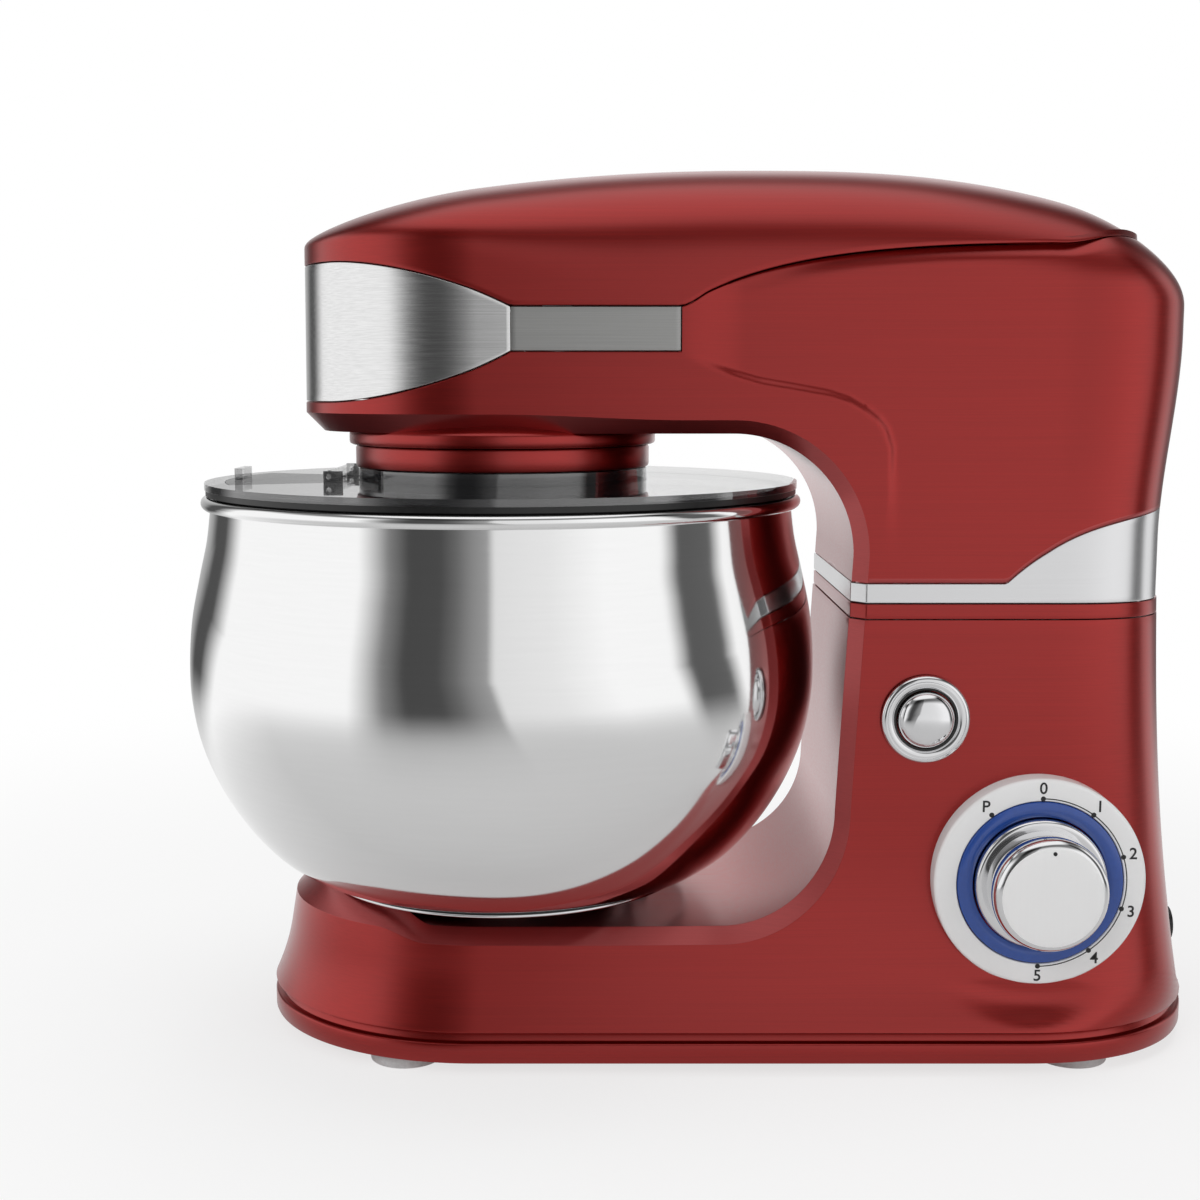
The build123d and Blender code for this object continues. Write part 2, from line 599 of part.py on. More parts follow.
def makeControlBoard():
    """Upright board with a transformer, a heat sink and two capacitors."""
    x, y, z = DIAL_X, -22.4, DIAL_Z
    board = block(x - 32, x + 30, y - 1.6, y, z - 39, z + 47)
    board += block(x - 24, x - 2, y, y + 14.4, z + 9, z + 33)
    board += block(x + 8, x + 30, y, y + 18.4, z + 3, z + 37)
    return board + rodY(6.5, y, y + 20.4, x - 16, z - 13) + rodY(5.0, y, y + 16.4, x + 14, z - 21)


def makeCordGland():
    x = COLUMN_X + 126.5
    gland = rodX(GLAND_R, x, x + 18, 0, CORD_Z) + rodX(GLAND_R + 2.6, x + 13.5, x + 15.5, 0, CORD_Z)
    return gland - rodX(CORD_R, x - 1, x + 19, 0, CORD_Z)


def makeButtonBezel():
    y0 = -wallY(BUTTON_Z, BODY_ROWS) - 2.4
    ring = rodY(BEZEL_R, y0, y0 + 2.4, BUTTON_X, BUTTON_Z)
    ring = fillet(frontEdges(ring), 1.8)
    ring += rodY(BUTTON_R + 2.0 - SEAM, y0 + 1, y0 + 7, BUTTON_X, BUTTON_Z)
    return ring - rodY(BUTTON_R + SLIP, y0 - 1, y0 + 8, BUTTON_X, BUTTON_Z)


def makeTiltButton():
    side = -wallY(BUTTON_Z, BODY_ROWS)
    cap = rodY(BUTTON_R, side - BUTTON_OUT, side + 3, BUTTON_X, BUTTON_Z)
    cap = fillet(frontEdges(cap), 3.2)
    cap += rodY(3.2, side + 2, LATCH_Y - 5.0, BUTTON_X, BUTTON_Z)
    return cap + rodY(1.0, LATCH_Y - 6.0, LATCH_Y - 2.8, BUTTON_X, BUTTON_Z)


def makeButtonSpring():
    side = -wallY(BUTTON_Z, BODY_ROWS) + 3
    coil = Helix(pitch=1.25, height=LATCH_Y - 7.6 - side, radius=5.2)
    wire = sweep(Plane(coil @ 0, z_dir=coil % 0) * Circle(0.45), path=coil)
    return Pos(BUTTON_X, side + 0.55, BUTTON_Z) * Rot(-90, 0, 0) * wire


def makeLatchHook():
    x0, x1 = BUTTON_X - HOOK_HALF, BUTTON_X + HOOK_HALF
    arm = block(x0, x1, LATCH_Y - 2.5, LATCH_Y + 2.5, BUTTON_Z - 5, HOOK_TOP)
    arm += block(x0, x1, LATCH_Y + 2, LATCH_Y + 3.6, HOOK_TOP - 4, HOOK_TOP)
    arm += rodX(LATCH_PIN_R + 2.2, x0, x1, LATCH_Y, LATCH_Z)
    return arm - rodX(LATCH_PIN_R + FIT, x0 - 1, x1 + 1, LATCH_Y, LATCH_Z)


def makeLatchPin():
    reach = HOOK_HALF + 4.0
    return rodX(LATCH_PIN_R, BUTTON_X - reach, BUTTON_X + reach, LATCH_Y, LATCH_Z)


def makeLatchStriker():
    """Bracket inside the head's side wall, with the bar that the hook catches."""
    wall = -wallY(HOOK_TOP, HEAD_ROWS) + WALL + SEAM
    half = HOOK_HALF + 5.0
    part = block(BUTTON_X - half, BUTTON_X + half, wall, wall + 1.5, HOOK_TOP + 4, HOOK_TOP + 12)
    for x0 in (BUTTON_X - half, BUTTON_X + half - 2):
        part += block(x0, x0 + 2, wall + 1, STRIKER_Y + 1.4, HOOK_TOP - 10, HOOK_TOP - 1.5)
        part += block(x0, x0 + 2, wall, wall + 1.5, HOOK_TOP - 8, HOOK_TOP + 6)
    return part + rodX(2.4, BUTTON_X - half, BUTTON_X + half, STRIKER_Y, HOOK_TOP - 7)


# ---- head ----

def fromBowl(points):
    return [(BOWL_X + x, HEAD_Z + z) for x, z in points]


def aboveSeam(gap):
    """Prism above the joint between the two head covers; a negative gap moves its edge down."""
    line = [(x, z + gap) for x, z in fromBowl(SEAM_LINE)]
    return profileXZ([(-FAR, line[0][1]), *line, (FAR, line[-1][1]), (FAR, FAR * 2), (-FAR, FAR * 2)])


def bandRegion(grow=0.0):
    """Outline of the steel band that wraps the nose, seen from the side."""
    ends = (BAND_TOP[0], BAND_LOW[-1])
    top = [(x + grow * ((x, z) in ends), z + grow) for x, z in BAND_TOP]
    low = [(x + grow * ((x, z) in ends), z - grow) for x, z in BAND_LOW]
    return profileXZ(fromBowl(top + low))


def stripRegion(grow=0.0):
    x0, x1, z0, z1 = STRIP
    return block(BOWL_X + x0 - grow, BOWL_X + x1 + grow, -FAR, FAR, HEAD_Z + z0 - grow, HEAD_Z + z1 + grow)


def neckRegion(grow=0.0):
    """Outline of the silver band round the bottom of the head, seen from the side."""
    line = [(COLUMN_X + x, SPLIT_Z + z + grow) for x, z in NECK_LINE]
    return profileXZ([(line[0][0], SPLIT_Z - 20), *line, (line[-1][0], SPLIT_Z - 20)])


def swingStep():
    """Skin taken off the lower rear edge of the head, so that it swings inside the column ring."""
    x0, z = HINGE_X + 0.8, SPLIT_Z
    wedge = profileXZ([(x0, z - 1), (x0, z), (x0 + 14, z + 14), (x0 + 30, z + 14), (x0 + 30, z - 1)])
    return wedge - tower(HEAD_ROWS, SKIRT_T + 0.5)


def neckWindow(x1):
    """Way through the bottom of the head for the motor, the latch and the hinge."""
    half = BODY_HALF - 7.2
    return block(COLUMN_X + OPEN_LEAN + WALL + 4.3, x1, -half, half, SPLIT_Z - 1, SPLIT_Z + WALL + 2)


def headShell():
    return headBody() - headBody(WALL)


def skin(depth):
    """Outer layer of the head, cut to a depth."""
    return tower(HEAD_ROWS, -5) - tower(HEAD_ROWS, depth)


def makeTopCover(shell):
    cover = shell & aboveSeam(SEAM / 2)
    cover -= skin(BAND_T + SEAM) & bandRegion(SEAM)
    return cover - (skin(STRIP_DEPTH + SEAM) & stripRegion(SEAM))


def makeLowerShell(shell):
    cover = shell - aboveSeam(-SEAM / 2) - neckRegion(SEAM) - neckWindow(HINGE_X - 2)
    cover -= skin(BAND_T + SEAM) & bandRegion(SEAM)
    cover -= skin(STRIP_DEPTH + SEAM) & stripRegion(SEAM)
    return cover - rod(COLLAR_BORE, RIM_Z, HEAD_Z + WALL + 2, BOWL_X)


def makeNeckBand(shell):
    return (shell & neckRegion()) - swingStep() - neckWindow(HINGE_X + 3)


def makeFrontBand():
    return (tower(HEAD_ROWS) - tower(HEAD_ROWS, BAND_T)) & bandRegion()


def makeStrip(side):
    sheet = tower(HEAD_ROWS, 0.9) - tower(HEAD_ROWS, STRIP_DEPTH)
    return sheet & stripRegion() & block(-FAR, FAR, *sorted((0, side * FAR)), 0, FAR)


def makeHubCollar(radius, z0, z1):
    return tube(radius, COLLAR_BORE, z0 + 0.2, z1, BOWL_X)


def makeHeadFrame():
    z0, z1 = FRAME_Z
    frame = block(BOWL_X - 30, HINGE_X - 14, -FRAME_HALF, FRAME_HALF, z0, z1)
    frame += rod(COLLAR_BORE - SLIP, z0, z1, BOWL_X)
    frame -= rod(MOTOR_R - 5, z0 - 1, z1 + 1, MOTOR_X)
    # seats of the two upper bearings
    frame += rod(CARRIER_BEARING_R + 4, z1 - 1, z1 + 3.5, BOWL_X) + rod(BEARING_R + 4, z1 - 1, z1 + 3.5, PULLEY_X)
    frame -= rod(CARRIER_BEARING_R + FIT, z0 - 1, z1 + 10, BOWL_X)
    frame -= rod(BEARING_R, z0 - 1, z1 + 10, PULLEY_X)
    # arms and eyes of the hinge
    frame += eyes(EYE_HEAD, HINGE_X - 15.5, HINGE_X, HINGE_Z + 4, z1)
    frame += eyes(EYE_HEAD, HINGE_X - 10, HINGE_X, HINGE_Z, HINGE_Z + 6)
    frame += rodY(HINGE_EYE_R, *EYE_HEAD, HINGE_X, HINGE_Z)
    frame += rodY(HINGE_EYE_R, -EYE_HEAD[1], -EYE_HEAD[0], HINGE_X, HINGE_Z)
    # pillars that carry the bridge
    frame += eyes((POST_Y - 8.5, POST_Y + 4.5), POST_X[0] - 6, POST_X[1] + 6, z0, z1)
    for side in (-1, 1):
        frame += [rod(4.5, z1 - 1, BRIDGE_Z[0], x, side * POST_Y) for x in POST_X]
    return frame - rodY(HINGE_PIN_R + FIT, -BODY_HALF, BODY_HALF, HINGE_X, HINGE_Z)


def makeGearBridge():
    z0, z1 = BRIDGE_Z
    reach = POST_Y + 4.5
    bridge = block(*POST_X, -6, 6, z0, z1) + rod(BEARING_R + 5, z0, z1, PULLEY_X)
    bridge += [block(x - 5, x + 5, -reach, reach, z0, z1) for x in POST_X]
    bridge += rod(BEARING_R + 3, z0 - 2.5, z0 + 1, PULLEY_X)
    return bridge - rod(BEARING_R, z0 - 5, z1 + 1, PULLEY_X)


def makeRingGear():
    z0, z1 = PLANET_Z[0], FRAME_Z[0]
    pitch = MODULE * RING_TEETH / 2
    # a tooth space faces the planet's place, which is toward -Y
    teeth = toothedFace(RING_TEETH, pitch - TIP * MODULE, pitch + ROOT * MODULE, -TOOTH_SLACK, -pi / 2)
    ring = rod(COLLAR_BORE - SEAM, z0, z1, BOWL_X)
    ring -= Pos(BOWL_X, 0, z0 - 1) * extrude(teeth, PLANET_Z[1] + 0.5 - z0 + 1)
    return ring - rod(pitch - TIP * MODULE, z0 - 1, z1 + 1, BOWL_X)


def makeCarrierBearing():
    return tube(CARRIER_BEARING_R, CARRIER_SHAFT_R + 1.0, FRAME_Z[0], FRAME_Z[1] + 3.5, BOWL_X)


def makeCarrier():
    z0, z1 = CARRIER_Z
    body = rod(CARRIER_R, z0, z1, BOWL_X)
    body = fillet(body.faces().sort_by(Axis.Z)[0].edges(), 3.0)
    body += rod(CARRIER_BEARING_R + 2, z1 - 1, FRAME_Z[0] - 0.6, BOWL_X)
    body += rod(CARRIER_SHAFT_R + 1.0 - FIT, z1, FRAME_Z[1] + 4, BOWL_X)
    body += rod(CARRIER_SHAFT_R, FRAME_Z[1], GEAR_Z[1] + 2, BOWL_X)
    return body - rod(TOOL_SHAFT_R + FIT, z0 - 1, z1 + 1, BOWL_X, -PLANET_E)


def makeOutputGear():
    # a tooth faces the pinion toward +X
    wheel = Pos(BOWL_X, 0, 0) * gear(GEAR_TEETH, *GEAR_Z)
    for i in range(6):
        a = radians(60 * i + 30)
        wheel -= rod(8, 0, FAR, BOWL_X + 26 * cos(a), 26 * sin(a))
    return wheel - rod(CARRIER_SHAFT_R, 0, FAR, BOWL_X)


def makePinionShaft():
    # a tooth space faces the big gear, toward -X
    phase = pi + pi / PINION_TEETH
    shaft = Pos(PULLEY_X, 0, 0) * gear(PINION_TEETH, GEAR_Z[0] - 0.5, GEAR_Z[1] + 1, phase)
    return shaft + rod(PULLEY_SHAFT_R, FRAME_Z[0] + 0.5, BRIDGE_Z[1] - 0.5, PULLEY_X)


def makeDrivePulley():
    z0, z1 = BELT_Z
    wheel = rod(PULLEY_R, z0, z1, PULLEY_X) - tube(PULLEY_R - 5, 12, z0 - 1, z0 + 3, PULLEY_X)
    wheel += tube(PULLEY_R + 1.5, PULLEY_R - 2, z1, z1 + 1, PULLEY_X)
    wheel += tube(PULLEY_R + 1.5, PULLEY_R - 2, z0 - 1, z0, PULLEY_X)
    for i in range(5):
        a = radians(72 * i)
        wheel -= rod(7, 0, FAR, PULLEY_X + 25 * cos(a), 25 * sin(a))
    return wheel - rod(PULLEY_SHAFT_R, 0, FAR, PULLEY_X)


def makeBelt():
    span = MOTOR_X - PULLEY_X
    face = loop(PULLEY_R + FIT + BELT_T, MOTOR_PULLEY_R + FIT + BELT_T, span)
    face -= loop(PULLEY_R + FIT, MOTOR_PULLEY_R + FIT, span)
    return Pos(PULLEY_X, 0, BELT_Z[0] + 0.5) * extrude(face, BELT_Z[1] - BELT_Z[0] - 1.0)


def makeBearings():
    """The four equal ball bearings of the pulley shaft and the motor shaft."""
    places = [(PULLEY_X, FRAME_Z[0] + 1), (PULLEY_X, BRIDGE_Z[0] - 2.5),
              (MOTOR_X, MOTOR_Z[1] - 0.5), (MOTOR_X, MOTOR_Z[0] - 4.5)]
    return [tube(BEARING_R, MOTOR_SHAFT_R + FIT, z, z + BEARING_W, x) for x, z in places]


def makeMotorHousing():
    z0, z1 = MOTOR_Z
    can = tube(MOTOR_R, MOTOR_R - 2, z0, z1, MOTOR_X)
    can += tube(MOTOR_R, BEARING_R, z1 - 2.5, z1 - 0.4, MOTOR_X)
    can += tube(MOTOR_R, BEARING_R, z0, z0 + 2, MOTOR_X)
    can += tube(BEARING_R + 2.5, BEARING_R, z1 - 2.5, z1 + 5.5, MOTOR_X)
    can += tube(BEARING_R + 2.5, BEARING_R, z0 - 5, z0 + 2, MOTOR_X)
    # flange that hangs the motor under the frame
    can += tube(MOTOR_R + 4, MOTOR_R - 2, z1 - 2, FRAME_Z[0] - 0.02, MOTOR_X)
    for i in range(8):
        a = radians(45 * i + 22.5)
        can -= rod(4.5, z0 - 1, z0 + 3, MOTOR_X + 27 * cos(a), 27 * sin(a))
    return can


def makeStator():
    core = tube(MOTOR_R - 2 - FIT, ROTOR_R + AIR_GAP, MOTOR_Z[0] + 10, MOTOR_Z[1] - 12, MOTOR_X)
    coil = tube(MOTOR_R - 6, ROTOR_R + 4, MOTOR_Z[0] + 5.5, MOTOR_Z[1] - 7.5, MOTOR_X)
    return core + coil


def makeBrushes():
    z = MOTOR_Z[0] + 3.0
    near = COMMUTATOR_R + 0.2
    x0, x1 = MOTOR_X - 3, MOTOR_X + 3
    return [block(x0, x1, near, 24, z, z + 2.3), block(x0, x1, -24, -near, z, z + 2.3)]


def makeArmature():
    z0, z1 = MOTOR_Z
    core = rod(ROTOR_R, z0 + 11, z1 - 13, MOTOR_X) + rod(ROTOR_R - 5, z0 + 7.5, z1 - 9, MOTOR_X)
    core += rod(COMMUTATOR_R, z0 + 2.6, z0 + 8, MOTOR_X)
    for i in range(12):
        a = radians(30 * i)
        core -= rod(1.2, z0 + 5, z1, MOTOR_X + (ROTOR_R - 0.6) * cos(a), (ROTOR_R - 0.6) * sin(a))
    return core - rod(MOTOR_SHAFT_R, 0, FAR, MOTOR_X)


def makeMotorShaft():
    return rod(MOTOR_SHAFT_R, MOTOR_Z[0] - 5, BELT_Z[1] + 2, MOTOR_X)


def makeFan():
    z = FAN_Z
    fan = rod(MOTOR_R - 9, z, z + 1.5, MOTOR_X) + rod(7, z - 3.5, z + 2.5, MOTOR_X)
    blade = block(9, MOTOR_R - 10, 2.4, 3.6, z + 1.5, z + 8.5)
    fan += [Pos(MOTOR_X, 0, 0) * Rot(0, 0, 40 * i) * blade for i in range(9)]
    return fan - rod(MOTOR_SHAFT_R, 0, FAR, MOTOR_X)


def makeMotorPulley():
    part = rod(MOTOR_PULLEY_R, *BELT_Z, MOTOR_X)
    part += rod(MOTOR_PULLEY_R + 3, BELT_Z[0] - 1.2, BELT_Z[0], MOTOR_X)
    part += rod(MOTOR_PULLEY_R + 3, BELT_Z[1], BELT_Z[1] + 1.2, MOTOR_X)
    return part - rod(MOTOR_SHAFT_R, 0, FAR, MOTOR_X)


# ---- tool ----

def makePlanet():
    # a tooth faces the ring, toward -Y
    wheel = Pos(BOWL_X, -PLANET_E, 0) * gear(PLANET_TEETH, *PLANET_Z, phase=-pi / 2)
    return wheel - rod(TOOL_SHAFT_R - 1, 0, FAR, BOWL_X, -PLANET_E)


def makeToolShaft():
    y = -PLANET_E
    shaft = rod(TOOL_SHAFT_R, SHAFT_END, CARRIER_Z[1] + 1.0, BOWL_X, y)
    shaft += rod(TOOL_SHAFT_R - 1, CARRIER_Z[1], PLANET_Z[1] + 0.8, BOWL_X, y)
    shaft += rod(TOOL_SHAFT_R + 3, CARRIER_Z[0] - 5, CARRIER_Z[0] - 0.4, BOWL_X, y)
    return shaft - rodX(PIN_R, BOWL_X - 20, BOWL_X + 20, y, PIN_Z)


def makeDrivePin():
    reach = TOOL_SHAFT_R + 5.0
    return rodX(PIN_R, BOWL_X - reach, BOWL_X + reach, -PLANET_E, PIN_Z)


def plateXZ(points, half):
    """Flat plate of a closed outline, in the beater's plane."""
    return Pos(BOWL_X, -PLANET_E, 0) * profileXZ(points, half)


def makeBeater():
    """Flat beater: hub, nine-sided frame, one upright rib and one cross rib."""
    z0, z1 = BEATER_Z
    half, bar = BEATER_HALF, BEATER_BAR
    middle = (z0 + z1) / 2
    right = [(half * 0.52, z0 + 6), (half, z0 + 52), (half * 0.93, z1 - 16), (half * 0.5, z1)]
    outer = [(0, z0), *right, *[(-x, z) for x, z in reversed(right)]]
    inner = [(x * (1 - bar / half), middle + (z - middle) * (1 - 2 * bar / (z1 - z0))) for x, z in outer]
    thick = BEATER_T / 2
    beater = plateXZ(outer, thick) - plateXZ(inner, BEATER_T)
    beater += plateXZ([(-bar / 2, z0 + 4), (bar / 2, z0 + 4), (bar / 2, z1), (-bar / 2, z1)], thick)
    reach = half * 0.94
    cross = [(-reach, middle - 3), (reach, middle - 3), (reach, middle + 4), (-reach, middle + 4)]
    beater += plateXZ(cross, thick - 1)
    hub = rod(HUB_R, z1 - 6, SHAFT_END + 17, BOWL_X, -PLANET_E)
    beater += fillet(hub.faces().sort_by(Axis.Z)[-1].edges(), 2)
    beater -= rod(TOOL_SHAFT_R + 0.15, SHAFT_END - 1, HEAD_Z, BOWL_X, -PLANET_E)
    # slot in which the cross pin locks
    return beater - block(BOWL_X - 12, BOWL_X + 12, -PLANET_E - 2.2, -PLANET_E + 2.2, PIN_Z - 2.5, PIN_Z + 2.5)


# ---- lid ----

def makeLidCollar():
    return tube(LID_HUB_R, COLLAR_BORE - 1.5, LID_Z[0], COLLAR_Z[0], BOWL_X)


def flapWedge(grow=0.0):
    ring = tube(FLAP_R[1] + grow, FLAP_R[0] - grow, RIM_Z, COLLAR_Z[0] + 5, BOWL_X)
    half = FLAP_ARC / 2 + grow / 1.2
    return ring & sector(180 - half, 180 + half, LID_R + 25, RIM_Z - 10, HEAD_Z)


def makeLid():
    lid = tube(LID_R, LID_HUB_R + SEAM, *LID_Z, BOWL_X) - flapWedge(SLIP)
    ears = eyes(FLAP_EAR, FLAP_PIN_X - 2, FLAP_PIN_X + 5, LID_Z[0], LID_Z[1] + 4.6)
    return lid + (ears - rodY(FLAP_PIN_R, -LID_R, LID_R, FLAP_PIN_X, FLAP_PIN_Z))


def makeFlap():
    x, top = FLAP_PIN_X, LID_Z[1]
    flap = flapWedge() & slab(*LID_Z)
    flap += block(x - 3.0, x + 1.5, -22.0, 22.0, top - 1, top + 2.2)
    flap += rodY(2.3, 0.5 - FLAP_EAR[0], FLAP_EAR[0] - 0.5, x, FLAP_PIN_Z)
    flap += block(x - 40, x - 37, -9, 9, top - 1, top + 4.5)
    return flap + rodY(FLAP_PIN_R - FIT, -FLAP_EAR[1] + 0.5, FLAP_EAR[1] - 0.5, x, FLAP_PIN_Z)


def makeLidSeal():
    rim = BOWL_ROWS[-1][0]
    seal = tube(rim + 1.6, rim - 3.4, RIM_Z + RIM_R + SLIP, LID_Z[0], BOWL_X)
    return seal + tube(rim - 3.2, rim - 6.0, RIM_Z - 3, LID_Z[0], BOWL_X)


shell = headShell()
parts = {
    "base_shell": makeBaseShell(),
    "bottom_plate": makeBottomPlate(),
    "bowl_seat": makeBowlSeat(),
    "column_ring": makeColumnRing(),
    "column_frame": makeColumnFrame(),
    "hinge_pin": makeHingePin(),
    "latch_pin": makeLatchPin(),
    "latch_hook": makeLatchHook(),
    "latch_striker": makeLatchStriker(),
    "button_bezel": makeButtonBezel(),
    "tilt_button": makeTiltButton(),
    "button_spring": makeButtonSpring(),
    "dial_bezel": makeDialBezel(),
    "light_ring": makeLightRing(),
    "control_knob": makeKnob(),
    "knob_collar": makeKnobCollar(),
    "knob_shaft": makeKnobShaft(),
    "speed_switch": makeSpeedSwitch(),
    "control_board": makeControlBoard(),
    "cord_gland": makeCordGland(),
    "bowl": makeBowl(),
    "bowl_foot": makeBowlFoot(),
    "head_frame": makeHeadFrame(),
    "head_top_cover": makeTopCover(shell),
    "head_lower_shell": makeLowerShell(shell),
    "neck_band": makeNeckBand(shell),
    "front_band": makeFrontBand(),
    "hub_collar_upper": makeHubCollar(COLLAR_R[0], COLLAR_Z[1], HEAD_Z),
    "hub_collar_lower": makeHubCollar(COLLAR_R[1], *COLLAR_Z),
    "ring_gear": makeRingGear(),
    "carrier_bearing": makeCarrierBearing(),
    "gear_bridge": makeGearBridge(),
    "motor_housing": makeMotorHousing(),
    "motor_stator": makeStator(),
    "drive_belt": makeBelt(),
    "planet_carrier": makeCarrier(),
    "output_gear": makeOutputGear(),
    "planet_gear": makePlanet(),
    "tool_shaft": makeToolShaft(),
    "drive_pin": makeDrivePin(),
    "flat_beater": makeBeater(),
    "drive_pulley": makeDrivePulley(),
    "pinion_shaft": makePinionShaft(),
    "armature": makeArmature(),
    "motor_shaft": makeMotorShaft(),
    "motor_fan": makeFan(),
    "motor_pulley": makeMotorPulley(),
    "splash_lid": makeLid(),
    "lid_collar": makeLidCollar(),
    "lid_seal": makeLidSeal(),
    "lid_flap": makeFlap(),
    "shaft_bearings": Compound(children=makeBearings()),
    "carbon_brushes": Compound(children=makeBrushes()),
}
for row, x in zip(("front", "rear"), FOOT_X):
    for name, side in (("left", -1), ("right", 1)):
        parts[f"foot_{row}_{name}"] = makeFoot(x, side * FOOT_Y)
for name, side in (("left", -1), ("right", 1)):
    parts[f"side_strip_{name}"] = makeStrip(side)
screws = [makeScrew(x, y * side, PLATE_Z, 14) for x, y in SCREW_XY for side in (-1, 1)]
screws += [makeScrew(x, y, SEAT_TOP - 2.2, -11) for x, y in seatScrewPlaces()]
parts["housing_screws"] = Compound(children=screws)

os.makedirs("parts", exist_ok=True)
for name, shape in parts.items():
    save(shape, name)
    print(name)
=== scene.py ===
import bmesh
import bpy
from math import asin, cos, exp, pi, radians, sin, sqrt
from mathutils import Matrix, Vector


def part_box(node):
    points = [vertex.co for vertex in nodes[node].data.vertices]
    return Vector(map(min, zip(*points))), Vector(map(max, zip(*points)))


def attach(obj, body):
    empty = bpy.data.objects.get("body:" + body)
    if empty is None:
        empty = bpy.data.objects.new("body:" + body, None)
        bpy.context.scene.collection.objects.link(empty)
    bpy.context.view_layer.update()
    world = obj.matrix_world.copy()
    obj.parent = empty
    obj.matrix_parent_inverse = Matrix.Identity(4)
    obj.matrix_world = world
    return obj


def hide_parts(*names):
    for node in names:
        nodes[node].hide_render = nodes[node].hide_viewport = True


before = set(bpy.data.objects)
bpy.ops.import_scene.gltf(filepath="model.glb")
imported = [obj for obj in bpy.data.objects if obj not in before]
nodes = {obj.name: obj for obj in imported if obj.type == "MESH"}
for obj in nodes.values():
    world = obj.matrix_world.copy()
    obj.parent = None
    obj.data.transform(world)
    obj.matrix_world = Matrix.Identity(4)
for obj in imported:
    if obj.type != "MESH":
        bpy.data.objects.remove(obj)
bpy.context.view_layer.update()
print("frame loaded:", len(nodes), "nodes")

mm = 0.001      # shapes are worked out in millimetres and scaled once


def span(node):
    low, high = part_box(node)
    return [(low[i] / mm, high[i] / mm) for i in range(3)]


def middle(node, axis):
    low, high = span(node)[axis]
    return (low + high) / 2


# main places, read from the frame
axisX = middle("bowl", 0)               # axis of the bowl and of the drive
splitZ = span("neck_band")[2][0]        # underside of the tilting head
headZ = span("hub_collar_upper")[2][1]  # underside of the head over the bowl
crestZ = span("head_top_cover")[2][1]
flangeLow, flangeRear = span("base_shell")[2][0], span("base_shell")[0][1]
flangeFront = span("base_shell")[0][0]
ringLow = span("column_ring")[2][0]
ringRadius, dialBack = 30.5, 73.8       # the dial's centre lies this far behind the column's front
columnX = span("light_ring")[0][0] + ringRadius - dialBack      # front face at the foot of the column


def ease(t):
    t = max(0.0, min(1.0, t))
    return t * t * (3 - 2 * t)


def mix(a, b, t):
    return a + (b - a) * t


def newMaterial(name, color, metallic=0.0, roughness=0.5, **more):
    material = bpy.data.materials.new(name)
    material.use_nodes = True
    shader = material.node_tree.nodes["Principled BSDF"]
    shader.inputs["Base Color"].default_value = (*color, 1)
    shader.inputs["Metallic"].default_value = metallic
    shader.inputs["Roughness"].default_value = roughness
    for label, value in more.items():
        shader.inputs[label].default_value = value
    material.diffuse_color = (*color, 1)
    return material


def makeGroup(name, inputs, outputs):
    group = bpy.data.node_groups.new(name, "ShaderNodeTree")
    for label, kind, value in inputs:
        socket = group.interface.new_socket(label, in_out="INPUT", socket_type=kind)
        socket.default_value = value
    for label, kind in outputs:
        group.interface.new_socket(label, in_out="OUTPUT", socket_type=kind)
    return group, group.nodes.new("NodeGroupInput"), group.nodes.new("NodeGroupOutput")


def link(tree, a, out, b, into):
    tree.links.new(a.outputs[out], b.inputs[into])


def mathNode(tree, operation, *values):
    # each value is a number or another node's output
    node = tree.nodes.new("ShaderNodeMath")
    node.operation = operation
    for value, socket in zip(values, node.inputs):
        if isinstance(value, (int, float)):
            socket.default_value = value
        else:
            tree.links.new(value, socket)
    return node.outputs[0]


def mapRange(tree, source, low, high, toLow=0.0, toHigh=1.0, smooth=True):
    node = tree.nodes.new("ShaderNodeMapRange")
    node.interpolation_type = "SMOOTHSTEP" if smooth else "LINEAR"
    for label, value in (("From Min", low), ("From Max", high), ("To Min", toLow), ("To Max", toHigh)):
        node.inputs[label].default_value = value
    tree.links.new(source, node.inputs["Value"])
    return node.outputs["Result"]


def mixColor(tree, share, first, second, blend="MIX"):
    node = tree.nodes.new("ShaderNodeMix")
    node.data_type, node.blend_type = "RGBA", blend
    for value, socket in ((share, node.inputs[0]), (first, node.inputs[6]), (second, node.inputs[7])):
        if isinstance(value, bpy.types.NodeSocket):
            tree.links.new(value, socket)
        else:
            socket.default_value = value
    return node.outputs[2]


grainLook = {"detail": 5.0, "rough": 0.65, "drift": 9.0, "driftDetail": 2.0, "low": 0.35, "high": 0.65,
             "depth": 0.0004}


